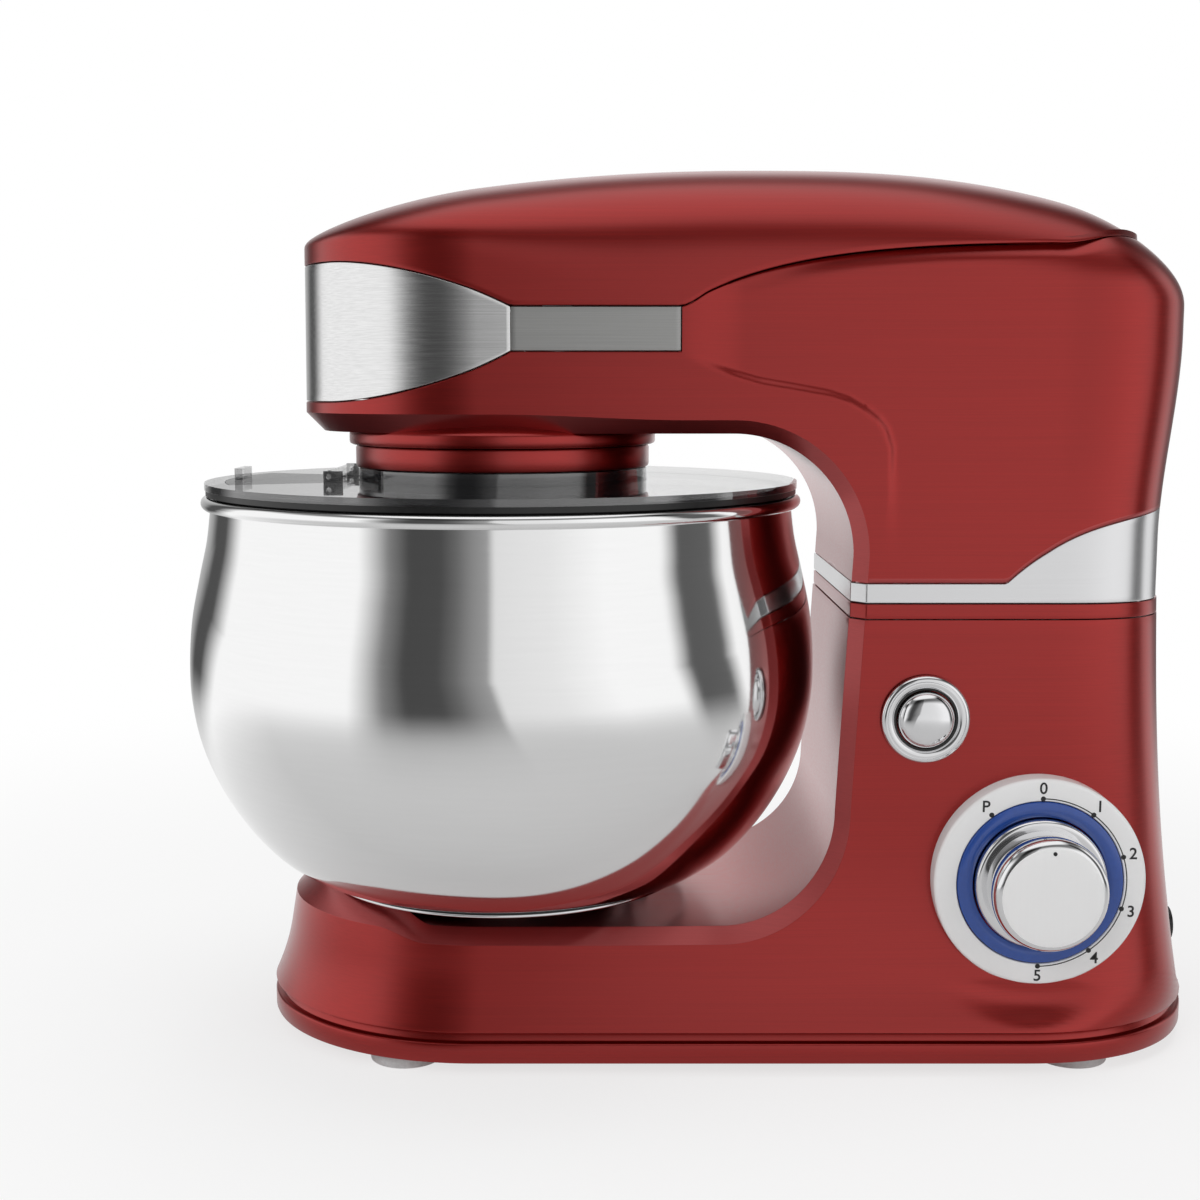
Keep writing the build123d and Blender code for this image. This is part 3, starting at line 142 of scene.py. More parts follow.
def makeGrain():
    # fine lines along one direction, with a broad drift under them
    look = grainLook
    color, number = "NodeSocketColor", "NodeSocketFloat"
    group, into, out = makeGroup("grain", [
        ("Color", color, (0.5, 0.5, 0.5, 1)), ("Dark", color, (0.3, 0.3, 0.3, 1)),
        ("Along", "NodeSocketVector", (20.0, 20.0, 1400.0)), ("Roughness", number, 0.3),
        ("Spread", number, 0.08), ("Relief", number, 0.02)],
        [("Color", color), ("Roughness", number), ("Normal", "NodeSocketVector")])
    place = group.nodes.new("ShaderNodeTexCoord")
    scale = group.nodes.new("ShaderNodeMapping")
    link(group, place, "Object", scale, "Vector")
    link(group, into, "Along", scale, "Scale")
    lines = group.nodes.new("ShaderNodeTexNoise")
    lines.inputs["Scale"].default_value = 1.0
    lines.inputs["Detail"].default_value = look["detail"]
    lines.inputs["Roughness"].default_value = look["rough"]
    link(group, scale, "Vector", lines, "Vector")
    drift = group.nodes.new("ShaderNodeTexNoise")
    drift.inputs["Scale"].default_value = look["drift"]
    drift.inputs["Detail"].default_value = look["driftDetail"]
    link(group, place, "Object", drift, "Vector")
    tone = mapRange(group, lines.outputs["Fac"], look["low"], look["high"], smooth=False)
    shade = mixColor(group, tone, into.outputs["Dark"], into.outputs["Color"])
    group.links.new(shade, out.inputs["Color"])
    uneven = mathNode(group, "SUBTRACT", mathNode(group, "ADD", tone, drift.outputs["Fac"]), 1.0)
    spread = mathNode(group, "MULTIPLY", uneven, into.outputs["Spread"])
    rough = mathNode(group, "ADD", spread, into.outputs["Roughness"])
    group.links.new(rough, out.inputs["Roughness"])
    bump = group.nodes.new("ShaderNodeBump")
    bump.inputs["Distance"].default_value = look["depth"]
    link(group, into, "Relief", bump, "Strength")
    link(group, lines, "Fac", bump, "Height")
    link(group, bump, "Normal", out, "Normal")
    return group


grainGroup = makeGrain()


def grained(name, color, contrast, along, roughness, spread, relief, metallic=1.0, **more):
    # contrast is how much of the colour the dark lines keep
    material = newMaterial(name, color, metallic, roughness, **more)
    tree = material.node_tree
    grain = tree.nodes.new("ShaderNodeGroup")
    grain.node_tree = grainGroup
    settings = {"Color": (*color, 1), "Dark": (*(c * contrast for c in color), 1), "Along": along,
                "Roughness": roughness, "Spread": spread, "Relief": relief}
    for label, value in settings.items():
        grain.inputs[label].default_value = value
    for here, there in (("Color", "Base Color"), ("Roughness", "Roughness"), ("Normal", "Normal")):
        link(tree, grain, here, tree.nodes["Principled BSDF"], there)
    return material


alongX = (14.0, 300.0, 2600.0)
allRound = (500.0, 500.0, 500.0)
satinCoat = {"Coat Weight": 0.75, "Coat Roughness": 0.22}
clearCoat = {"Coat Weight": 1.0, "Coat Roughness": 0.03}
redPaint = grained("red_satin_paint", (0.40, 0.015, 0.012), 0.86, alongX, 0.33, 0.05, 0.03, 0.92,
                   **satinCoat)
# a lighter, less metallic copy of the red paint for the chamfer rows of the base and the head: a painted
# highlight along the chamfers
chamferHighlightPaint = grained("red_paint_chamfer_highlight", (0.46, 0.05, 0.05), 0.9, alongX, 0.36, 0.05, 0.03, 0.80,
                    **satinCoat)
brushedSteel = grained("brushed_steel", (0.86, 0.86, 0.86), 0.86, alongX, 0.18, 0.05, 0.03)
stripSteel = grained("strip_steel", (0.50, 0.50, 0.49), 0.86, alongX, 0.42, 0.06, 0.05)
neckSilver = grained("neck_silver", (0.80, 0.80, 0.81), 0.97, alongX, 0.26, 0.02, 0.01)
bowlSteel = grained("bowl_steel", (0.92, 0.92, 0.92), 0.985, (40.0, 40.0, 900.0), 0.075, 0.015, 0.0015)
chrome = grained("chrome", (0.84, 0.84, 0.85), 0.99, allRound, 0.05, 0.012, 0.001)
dialWhite = grained("dial_white", (0.95, 0.95, 0.95), 0.99, allRound, 0.25, 0.03, 0.005, 0.0,
                    **{"Coat Weight": 0.4})
knobFace = grained("knob_face", (0.95, 0.95, 0.95), 0.99, (900.0, 20.0, 20.0), 0.34, 0.03, 0.01, 0.0)
blueRing = grained("blue_ring", (0.018, 0.075, 0.36), 0.92, allRound, 0.18, 0.03, 0.004, 0.0,
                   **{"Coat Weight": 0.6})
printBlack = grained("print_black", (0.012, 0.012, 0.013), 0.7, allRound, 0.45, 0.06, 0.03, 0.0)
blackRubber = grained("black_rubber", (0.012, 0.012, 0.012), 0.6, allRound, 0.32, 0.08, 0.05, 0.0)
blackPlastic = grained("black_plastic", (0.02, 0.02, 0.022), 0.7, allRound, 0.45, 0.08, 0.12, 0.0)
footRubber = grained("foot_rubber", (0.78, 0.78, 0.78), 0.85, allRound, 0.42, 0.08, 0.08, 0.0,
                     **{"Transmission Weight": 0.15})
smokyClear = grained("smoky_clear", (0.012, 0.012, 0.014), 0.85, allRound, 0.04, 0.01, 0.001, 0.0,
                     **{"Alpha": 0.74, "IOR": 1.9, "Coat IOR": 2.1}, **clearCoat)
flapClear = grained("flap_clear", (0.05, 0.05, 0.055), 0.85, allRound, 0.05, 0.01, 0.001, 0.0,
                    **{"Alpha": 0.45, "IOR": 1.6, "Coat IOR": 1.9}, **clearCoat)
castMetal = grained("cast_metal", (0.55, 0.56, 0.58), 0.8, allRound, 0.46, 0.10, 0.20)
machined = grained("machined_steel", (0.52, 0.52, 0.54), 0.85, (60.0, 60.0, 900.0), 0.28, 0.06, 0.03)
beaterMetal = grained("beater_metal", (0.66, 0.66, 0.67), 0.9, allRound, 0.34, 0.08, 0.10)
acetal = grained("acetal", (0.72, 0.70, 0.64), 0.95, allRound, 0.40, 0.06, 0.04, 0.0)
motorGrey = grained("motor_grey", (0.16, 0.16, 0.18), 0.85, allRound, 0.4, 0.08, 0.05, 0.6)
copper = grained("copper_windings", (0.55, 0.22, 0.09), 0.7, (30.0, 30.0, 1800.0), 0.32, 0.1, 0.3)
boardGreen = grained("board_green", (0.02, 0.16, 0.06), 0.8, allRound, 0.35, 0.06, 0.05, 0.0)
carbonBlack = grained("carbon", (0.03, 0.03, 0.03), 0.7, allRound, 0.6, 0.08, 0.1, 0.0)

# the finish of each CAD node that is kept
cadFinish = (
    (blackPlastic, "bottom_plate bowl_seat speed_switch"),
    (machined, "housing_screws hinge_pin latch_pin drive_pin button_spring ring_gear planet_gear"),
    (machined, "pinion_shaft tool_shaft motor_shaft knob_shaft carrier_bearing shaft_bearings"),
    (machined, "latch_hook latch_striker bowl_foot"),
    (castMetal, "column_frame head_frame gear_bridge planet_carrier"),
    (acetal, "output_gear drive_pulley motor_fan motor_pulley"),
    (motorGrey, "motor_housing"), (copper, "motor_stator armature"), (carbonBlack, "carbon_brushes"),
    (boardGreen, "control_board"), (blackRubber, "cord_gland drive_belt lid_seal"),
    (beaterMetal, "flat_beater"), (smokyClear, "splash_lid lid_collar"), (flapClear, "lid_flap"),
    (footRubber, "foot_front_left foot_front_right foot_rear_left foot_rear_right"),
)
for finish, names in cadFinish:
    for name in names.split():
        nodes[name].data.materials.clear()
        nodes[name].data.materials.append(finish)
print("finishes made")


def finishPiece(name, bm, body, finishes, replaced, slot, wall=0.0, bevel=0.0, sharp=35, merge=0.01):
    # bm is in millimetres; wall adds thickness inwards, bevel rounds the sharp edges
    bmesh.ops.remove_doubles(bm, verts=bm.verts, dist=merge)
    bmesh.ops.dissolve_degenerate(bm, edges=bm.edges, dist=1e-4)
    bmesh.ops.recalc_face_normals(bm, faces=bm.faces)
    bmesh.ops.scale(bm, vec=(mm, mm, mm), verts=bm.verts)
    mesh = bpy.data.meshes.new(name)
    bm.to_mesh(mesh)
    bm.free()
    piece = bpy.data.objects.new(name, mesh)
    bpy.context.scene.collection.objects.link(piece)
    for finish in finishes:
        mesh.materials.append(finish)
    mesh.polygons.foreach_set("use_smooth", [True] * len(mesh.polygons))
    mesh.set_sharp_from_angle(angle=radians(sharp))
    if wall:
        solid = piece.modifiers.new("wall", "SOLIDIFY")
        solid.thickness = wall * mm
        solid.offset = -1.0
        solid.use_even_offset = False
    if bevel:
        edge = piece.modifiers.new("edges", "BEVEL")
        edge.width = bevel * mm
        edge.segments = 3
        edge.limit_method = "ANGLE"
        edge.angle_limit = radians(sharp)
        edge.profile = 0.5
        edge.material = -1
        edge.use_clamp_overlap = True
    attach(piece, body)
    if replaced:
        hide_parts(*replaced)


def gridOf(columns, rows, place, edgeRow=None):
    # a plain grid whose points are then put where place(column, row) says; edgeRow gets the second finish
    bm = bmesh.new()
    bmesh.ops.create_grid(bm, x_segments=columns - 1, y_segments=rows - 1, size=1.0)
    # where the base and the head use it, the edge row's second finish is the chamfers' painted highlight
    if edgeRow is not None:
        for face in bm.faces:
            row = (min(v.co.y for v in face.verts) + 1) / 2 * (rows - 1)
            face.material_index = 1 if round(row) == edgeRow else 0
    for vert in bm.verts:
        i = round((vert.co.x + 1) / 2 * (columns - 1))
        j = round((vert.co.y + 1) / 2 * (rows - 1))
        vert.co = place(i, j)
    return bm


def flipOutward(bm, centre):
    # an open skin's faces are turned so that most of them look away from the centre
    bmesh.ops.remove_doubles(bm, verts=bm.verts, dist=0.01)
    bmesh.ops.recalc_face_normals(bm, faces=bm.faces)
    bm.normal_update()
    outward = sum(f.normal.dot(f.calc_center_median() - centre) * f.calc_area() for f in bm.faces)
    if outward < 0:
        bmesh.ops.reverse_faces(bm, faces=bm.faces)


def bothSides(bm, x, z):
    # mirrors the near side, with the faces looking away from (x, 0, z)
    bmesh.ops.mirror(bm, geom=bm.verts[:] + bm.edges[:] + bm.faces[:], axis="Y", merge_dist=0.02)
    flipOutward(bm, Vector((x, 0, z)))
    return bm


def spun(profile, count, matrix):
    # turns a closed profile of (radius, height) about the matrix's Z axis
    bm = bmesh.new()
    points = [bm.verts.new((r, 0, h)) for r, h in profile]
    edges = [bm.edges.new(pair) for pair in zip(points, points[1:] + points[:1])]
    bmesh.ops.spin(bm, geom=points + edges, cent=(0, 0, 0), axis=(0, 0, 1), angle=2 * pi, steps=count,
                   use_merge=True)
    bmesh.ops.remove_doubles(bm, verts=bm.verts, dist=0.005)
    bmesh.ops.transform(bm, matrix=matrix, verts=bm.verts)
    return bm


def facing(x, y, z):
    # turns a piece to look toward -Y, where the dial and the button are
    return Matrix.Translation((x, y, z)) @ Matrix.Rotation(radians(90), 4, "X")


onAxis = Matrix.Translation((axisX, 0, 0))


# the base and its column; u runs from the nose to the rear
base = {
    "half": 58.2, "flare": 13.8, "flareHeight": (71.0, 47.0),    # half width, and its spread at the foot
    "flareAhead": 110.0, "flareOver": 160.0,                     # where the spread gets lower toward the rear
    "rear": columnX + 124.4, "rearSpread": 15.3, "rearHeight": 100.0, "rearPower": 1.6,
    "start": columnX + 70.5, "rearLength": 92.0, "square": 3.3,
    "nose": axisX - 7.0, "noseLength": 112.0, "longer": 11.0,    # where the straight side turns into the nose
    "deck": 52.5, "toeRise": 7.4, "toeFrom": 24.0, "toeOver": 20.0, "seatRadius": 75.6, "lipIn": 6.6,
    "front": columnX, "lean": 5.2, "lowArc": 42.0, "highArc": 44.0, "arcShare": 0.72, "arcEnd": 74.0,
    "chamferIn": 5.8, "chamfer": 5.0, "toeChamfer": 8.0, "bottom": 16.8, "skirt": 42.0, "skirtPower": 2.8,
}


def baseHalf(z, u=flangeFront):
    # the flare is lower toward the rear, where the dial's plate stands on the wall
    front, rear = base["flareHeight"]
    height = mix(front, rear, ease((u - columnX + base["flareAhead"]) / base["flareOver"]))
    return base["half"] + base["flare"] * exp(-(z / height) ** 2)


def baseRear(z):
    return base["rear"] + base["rearSpread"] * exp(-(z / base["rearHeight"]) ** base["rearPower"])


def roundedEnd(turn, power):
    # a quarter of a superellipse, evenly spread: 0 is the side, 1 the tip
    a = turn * pi / 2
    reach = (cos(a) ** power + sin(a) ** power) ** (-1 / power)
    return reach * sin(a), reach * cos(a)


def plan(u, z, v, half, nose, noseLength, start, rear, rearLength, power, longer=0.0):
    # u runs along the side, and on round the nose and the rear; v is the share of the half width
    if u < nose:
        a = min(1.0, (nose - u) / noseLength) * pi / 2
        return Vector((nose - (half + longer) * v * sin(a), -half * v * cos(a), z))
    if u > start:
        along, across = roundedEnd(min(1.0, (u - start) / rearLength), power)
        return Vector((start + (rear - start) * v * along, -half * v * across, z))
    return Vector((u, -half * v, z))


flange = {
    "half": 74.3, "front": flangeFront, "rear": flangeRear, "noseLength": 120.0, "longer": 11.0,
    "start": columnX + 68.5, "rearLength": 110.0, "square": 2.2,
    # (inset, height) up the rim's outside, from the underside
    "profile": [(9.0, 0.2), (1.2, 0.0), (0.3, 0.25), (0.0, 1.0), (0.0, 6.9), (0.3, 7.5), (1.0, 7.8),
                (2.3, 8.0), (2.6, 8.3), (2.6, 14.0)],
}


def flangePoint(t, z, inset=0.0):
    # t runs 0 to 1 round the nose, 1 to 2 along the side and 2 to 3 round the rear
    f = flange
    nose = f["front"] + f["half"] + f["longer"]
    if t < 1:
        u = nose - (1 - t) * f["noseLength"]
    else:
        u = mix(nose, f["start"], min(1.0, t - 1)) + max(0.0, t - 2) * f["rearLength"]
    return plan(u, z, 1.0, f["half"] - inset, nose, f["noseLength"], f["start"], f["rear"] - inset,
                f["rearLength"], f["square"], f["longer"])


def basePoint(u, z, v=1.0):
    b = base
    point = plan(u, z, v, baseHalf(z, u), b["nose"], b["noseLength"], b["start"], baseRear(z),
                 b["rearLength"], b["square"], b["longer"])
    if z < b["skirt"] and v == 1.0:
        # the foot of the wall runs out into the flange's line
        if u < b["nose"]:
            t = 1 - (b["nose"] - u) / b["noseLength"]
        elif u < b["start"]:
            t = 1 + (u - b["nose"]) / (b["start"] - b["nose"])
        else:
            t = 2 + (u - b["start"]) / b["rearLength"]
        share = ((b["skirt"] - z) / (b["skirt"] - b["bottom"])) ** b["skirtPower"]
        point = point.lerp(flangePoint(t, z, 0.1), share)
    return point


def columnFront(z):
    b = base
    low, high = b["deck"] + b["lowArc"], headZ - b["highArc"]
    return b["front"] + b["lean"] * (z - low) / (high - low)


def steps(a, b, count, last=False):
    return [mix(a, b, i / count) for i in range(count + (1 if last else 0))]


def toeRise(u):
    # height of the lip round the bowl's seat, over the deck
    return base["toeRise"] * ease((axisX - base["toeFrom"] - u) / base["toeOver"])


def baseColumns():
    # (inner u, inner z, direction into the body, chamfer, outer u, outer z) along the open C
    b = base
    columns = []
    foot, tip = b["front"] - b["lowArc"], b["nose"] - b["noseLength"]
    end = b["start"] + b["rearLength"]
    top = ringLow - 0.35
    for u in steps(tip, b["nose"], 60) + steps(b["nose"], foot, 44):
        chamfer = mix(b["chamfer"], b["toeChamfer"], toeRise(u) / b["toeRise"])
        columns.append((u, b["deck"] + toeRise(u), (0, -1), chamfer, u, b["bottom"]))
    for f in steps(0, 1, 48):
        a = f * pi / 2
        x, z = foot + b["lowArc"] * sin(a), b["deck"] + b["lowArc"] * (1 - cos(a))
        if f < b["arcShare"]:
            goal = (mix(foot, end, f / b["arcShare"]), b["bottom"])
        else:
            goal = (end, mix(b["bottom"], b["arcEnd"], (f - b["arcShare"]) / (1 - b["arcShare"])))
        columns.append((x, z, (sin(a), -cos(a)), b["chamfer"], *goal))
    low = b["deck"] + b["lowArc"]
    for z in steps(low, top, 24, True):
        goal = mix(b["arcEnd"], top, (z - low) / (top - low))
        columns.append((columnFront(z), z, (1, 0), b["chamfer"], end, goal))
    return columns


def seatReach(u, z):
    # how far out the seat's circle is on the line of this u, as a share of the half width
    b, half = base, baseHalf(z)
    if u > b["nose"]:
        return sqrt(max(0.0, b["seatRadius"] ** 2 - (u - axisX) ** 2)) / half
    turn = min(1.0, (b["nose"] - u) / b["noseLength"]) * pi / 2
    along, side = (half + b["longer"]) * sin(turn), half * cos(turn)
    ahead, size = b["nose"] - axisX, along * along + side * side
    return (ahead * along + sqrt((ahead * along) ** 2 - size * (ahead ** 2 - b["seatRadius"] ** 2))) / size


def makeBaseSkin():
    # rows go across the open face, up the seat's lip, over the chamfer, then out over the side
    columns, across, rows = baseColumns(), 11, 54

    def place(i, j):
        u, z, (nx, nz), chamfer, endU, endZ = columns[i]
        lip = toeRise(u) / base["toeRise"]
        inner = 1 - mix(base["chamferIn"], base["lipIn"], lip) / baseHalf(z)
        if j < across:
            edge = min(inner, seatReach(u, z)) if lip > 0 else inner
            if j < across - 2:
                return basePoint(u, z - toeRise(u), edge * j / (across - 3))
            return basePoint(u, z, edge if j == across - 2 else inner)
        share = (j - across) / (rows - across - 1)
        return basePoint(mix(u + nx * chamfer, endU, share), mix(z + nz * chamfer, endZ, share))
    # the row over the chamfer takes the second finish, a painted highlight
    return bothSides(gridOf(len(columns), rows, place, across - 1), columnX + 70, 80)


def makeFlange():
    path = steps(0, 1, 44) + steps(1, 2, 30) + steps(2, 3, 48, True)

    def place(i, j):
        inset, z = flange["profile"][j]
        return flangePoint(path[i], flangeLow + z, inset)
    return bothSides(gridOf(len(path), len(flange["profile"]), place), axisX + 80, 0)


baseSkin = makeBaseSkin()
dialWall = {"x": middle("light_ring", 0), "z": middle("light_ring", 2), "face": -span("dial_bezel")[1][0],
            "under": 0.4, "radius": 39.2, "blend": 15.0, "from": 44.0, "over": 9.0}
for vert in baseSkin.verts:
    # the wall sinks softly where it would cover the foot of the dial's flat plate
    deep = -vert.co.y
    if deep > dialWall["from"]:
        away = sqrt((vert.co.x - dialWall["x"]) ** 2 + (vert.co.z - dialWall["z"]) ** 2) - dialWall["radius"]
        carried = min(dialWall["face"] - dialWall["under"], deep)
        share = (1 - ease(away / dialWall["blend"])) * ease((deep - dialWall["from"]) / dialWall["over"])
        vert.co.y = -mix(deep, carried, share)
# the base skin's second finish paints a highlight on its chamfer row
finishPiece("base_skin", baseSkin, "base", [redPaint, chamferHighlightPaint], ["base_shell"], "red_paint", 2.4, 0.5, 24)
finishPiece("base_flange", makeFlange(), "base", [redPaint], [], "red_paint", 1.2, 0.0, 50)
print("base made")


# the tilting head
head = {
    "half": 58.2, "narrow": 0.9, "narrowOver": 103.0,            # half width, and how it narrows upwards
    "nose": axisX - 6.7, "noseLength": 98.0, "longer": 12.0,
    "start": columnX + 74.5, "rearLength": 88.0, "square": 3.4,
    "rearLow": columnX + 124.7, "rearBulge": 6.6, "bulgeFrom": 22.0, "bulgeOver": 75.0,
    "shoulder": 53.5, "noseRise": 15.5, "rearDrop": 8.0,         # where the wall turns over into the dome
    "domeHeight": 60.0, "domeAcross": 2.6, "domeUp": 2.2,
    "crestX": columnX - 31.5, "noseFall": (170.0, 20.0, 2.1), "rearFall": (150.0, 23.0, 2.7),
    "chamfer": 5.0, "noseChamfer": 7.0, "chamferIn": 5.8,
}
band = {"front": axisX - 66.0, "end": axisX + 6.2, "top": headZ + 62.3, "low": headZ + 11.2,
        "drop": 16.9, "rise": 18.2, "power": 2.1}
strip = {"end": axisX + 67.2, "low": headZ + 29.5, "top": headZ + 45.4, "depth": 1.0}
seam = {"gap": 0.15, "rise": 23.2, "reach": 38.0, "lift": 7.0, "crestShare": 0.55, "rearShare": 0.8}
neck = {"low": 7.3, "start": 60.1, "rise": 29.5, "reach": 30.0}


def headCrest(x):
    reach, fall, power = head["noseFall"] if x < head["crestX"] else head["rearFall"]
    return crestZ - fall * (abs(x - head["crestX"]) / reach) ** power


def wallTop(x):
    # where the wall starts to curve over into the dome
    toNose, toRear = ease((axisX + 54 - x) / 110), ease((x - columnX - 28) / 60)
    return headZ + head["shoulder"] + head["noseRise"] * toNose - head["rearDrop"] * toRear


def headPoint(u, h, v=1.0):
    # h is the height on the wall, and runs on over the dome to the crest
    hd = head
    x, z, ring = u, h, v
    half = hd["half"] - hd["narrow"] * max(0.0, z - splitZ) / hd["narrowOver"]
    rear = hd["rearLow"] + hd["rearBulge"] * ease((z - splitZ - hd["bulgeFrom"]) / hd["bulgeOver"])
    for turn in range(9):       # the dome's height depends on x, and x on the height
        over = h - wallTop(x)
        if over > 0:
            a = min(1.0, over / hd["domeHeight"]) * pi / 2
            ring = v * max(0.0, cos(a)) ** (2 / hd["domeAcross"])
            z = mix(wallTop(x), headCrest(x), sin(a) ** (2 / hd["domeUp"]))
            rear = hd["rearLow"] + hd["rearBulge"]
        point = plan(u, z, ring, half, hd["nose"], hd["noseLength"], hd["start"], rear, hd["rearLength"],
                     hd["square"], hd["longer"])
        x = point.x
    return Vector((point.x, point.y, z))


def heightOver(x, z):
    # the h of a point of the dome whose height is z
    low, high = wallTop(x), headCrest(x)
    if z <= low:
        return z
    share = min(1.0, (z - low) / (high - low)) ** (head["domeUp"] / 2)
    return low + head["domeHeight"] * asin(share) / (pi / 2)


def alongBand(u):
    return max(0.0, (u - band["front"]) / (band["end"] - band["front"])) ** band["power"]


def bandTop(u):
    return band["top"] - band["drop"] * alongBand(u)


def bandLow(u):
    return band["low"] + band["rise"] * alongBand(u)


def seamHeight(u):
    # lower edge of the top cover: over the band, over the strip, then rising to the rear
    if u < band["end"]:
        return bandTop(u)
    if u < strip["end"]:
        return strip["top"]
    x = u - strip["end"]
    z = strip["top"] + seam["rise"] * (1 - exp(-x / seam["reach"])) * ease((x + 6) / 16)
    z += seam["lift"] * ease((u - columnX - 80) / 40)
    if u <= head["start"]:
        return heightOver(u, z)
    # round the rear the seam climbs to the crest
    low = heightOver(head["start"], z)
    rear = wallTop(head["rearLow"]) + head["domeHeight"] * seam["crestShare"]
    return mix(low, rear, ease((u - head["start"]) / (head["rearLength"] * seam["rearShare"])))


# the sunk side behind the strip; its lower edge is given along from the column's face and up from the head
panel = {
    "depth": 1.7, "step": 3.6, "ledge": 1.4,
    "edge": [(-64.0, 31.5), (-52.0, 26.4), (-39.6, 21.9), (-29.9, 19.1), (-17.0, 16.9), (-5.3, 14.8),
             (2.0, 12.5), (8.4, 8.8), (12.8, 5.4), (15.4, 2.0), (17.7, -4.7), (18.1, -39.5), (18.3, -90.0)],
}


def overEdge(x, z):
    # distance into the sunk side, from its lower edge
    best, side = 1e9, 1.0
    for (ax, az), (bx, bz) in zip(panel["edge"], panel["edge"][1:]):
        dx, dz = bx - ax, bz - az
        t = max(0.0, min(1.0, ((x - ax) * dx + (z - az) * dz) / (dx * dx + dz * dz)))
        away = (x - ax - t * dx) ** 2 + (z - az - t * dz) ** 2
        if away < best:
            best, side = away, dx * (z - az) - dz * (x - ax)
    return sqrt(best) if side > 0 else -sqrt(best)


def panelInset(u, h):
    # the rear side panel lies a little deeper than the shell in front of and below it
    p = panel
    if u < strip["end"]:
        return 0.0
    inside = ease((overEdge(u - columnX, h - headZ) + p["step"] / 2) / p["step"])
    begin = ease((u - strip["end"]) / 22)
    depth = p["depth"] * ease((h - splitZ - 12) / 60) * begin
    below = seamHeight(u) - h
    rolled = p["ledge"] * ease(1 - below / 5.5) * ease((u - columnX + 52) / 50)
    return (depth + rolled) * inside * (1 - ease((u - head["start"] - 4) / 28))


def headSide(u, h):
    return headPoint(u, h, 1 - panelInset(u, h) / head["half"])


def neckTop(u):
    # upper edge of the silver band, straight and then curving up to the rear
    x = u - columnX - neck["start"]
    rise = neck["rise"] * (1 - exp(-x / neck["reach"])) if x >= 0 else 0.0
    return splitZ + neck["low"] + rise


def lowerShellColumns():
    # (u, z, direction into the body, chamfer, u and height where the column ends) along the underside
    hd = head
    columns = []
    tip, end = hd["nose"] - hd["noseLength"], hd["start"] + hd["rearLength"]
    foot = base["front"] + base["lean"] - base["highArc"]
    high = headZ - base["highArc"]
    gap = seam["gap"]
    for u in steps(tip, band["end"], 56) + steps(band["end"], strip["end"], 34):
        goal = bandLow(u) - gap if u < band["end"] else strip["low"] - gap
        chamfer = mix(hd["noseChamfer"], hd["chamfer"], ease((u - axisX) / 70))
        columns.append((u, headZ, (0, 1), chamfer, u, goal))
    # up the end of the strip's recess
    recess = 0.7
    for f in steps(0, 1, 12):
        u = mix(strip["end"], foot, f * recess)
        goal = mix(strip["low"], strip["top"], f)
        columns.append((u, headZ, (0, 1), hd["chamfer"], strip["end"] + gap, goal))
    inner = [(u, headZ, (0, 1)) for u in steps(mix(strip["end"], foot, recess), foot, 4)]
    for f in steps(0, 1, 56):
        a = f * pi / 2
        inner.append((foot + base["highArc"] * sin(a), high + base["highArc"] * cos(a), (sin(a), cos(a))))
    low = splitZ + neck["low"] + gap
    inner += [(columnFront(z), z, (1, 0)) for z in steps(high, low, 6, True)]
    neckSteps = 96
    total = len(inner) + neckSteps
    for k, (u, z, normal) in enumerate(inner):
        goal = mix(strip["end"] + gap, end, k / total)
        columns.append((u, z, normal, hd["chamfer"], goal, seamHeight(goal) - gap))
    # along the top of the silver band
    for k, f in enumerate(steps(0, 1, neckSteps, True)):
        u = mix(columnFront(low), end, f)
        goal = mix(strip["end"] + gap, end, min(1.0, (len(inner) + k) / total))
        columns.append((u, neckTop(u) + gap, None, hd["chamfer"], goal, seamHeight(goal) - gap))
    return columns


# rounding along a cover's edge: (distance back from the edge, depth)
softEdge = [(0.0, 0.5), (0.13, 0.16), (0.45, 0.0)]
seamRows = softEdge + [(0.45 + 0.62 * k, 0.0) for k in range(1, 13)]


def inward(u, h, inset):
    skin, deeper = headPoint(u, h), headPoint(u, h, 0.98)
    return (deeper - skin).normalized() * inset


def makeLowerShell():
    columns = lowerShellColumns()
    across, rows = 8, 90
    last = len(seamRows)

    def alongColumn(j, first, u, z, endU, endH):
        # rows by the cover's seam keep their distance from it; under the band and strips they spread evenly
        back, inset = seamRows[min(rows - 1 - j, last - 1)]
        if rows - 1 - j < len(softEdge):
            return headSide(endU, endH - back) + inward(endU, endH, inset)
        even = (j - first) / (rows - 3 - first)
        spread = Vector((mix(u, endU, even), mix(z, endH - 0.45, even)))
        if rows - 1 - j < last:
            kept = Vector((endU, endH - back))
        else:
            share = (j - first) / (rows - last - first)
            kept = Vector((mix(u, endU, share), mix(z, endH - seamRows[-1][0], share)))
        return headSide(*spread.lerp(kept, ease((endU - strip["end"] - 0.2) / 14)))

    def place(i, j):
        u, z, normal, chamfer, endU, endH = columns[i]
        inner = 1 - head["chamferIn"] / head["half"]
        if normal is None:
            # these columns start on the side; the front face's rows run on across the chamfer
            front = columnFront(z)
            if u < front + chamfer:
                edge = mix(inner, 1.0, (u - front) / chamfer)
                if j < across:
                    return headPoint(u, z, edge)
            elif j < across:
                return headPoint(u, z)
            return alongColumn(j, across - 1, max(u, front + chamfer), z, endU, endH)
        if j < across:
            return headPoint(u, z, inner * j / (across - 1))
        return alongColumn(j, across, u + normal[0] * chamfer, z + normal[1] * chamfer, endU, endH)
    # the row over the underside's chamfer takes the second finish, a painted highlight
    return bothSides(gridOf(len(columns), rows, place, across - 1), columnX, headZ + 40)


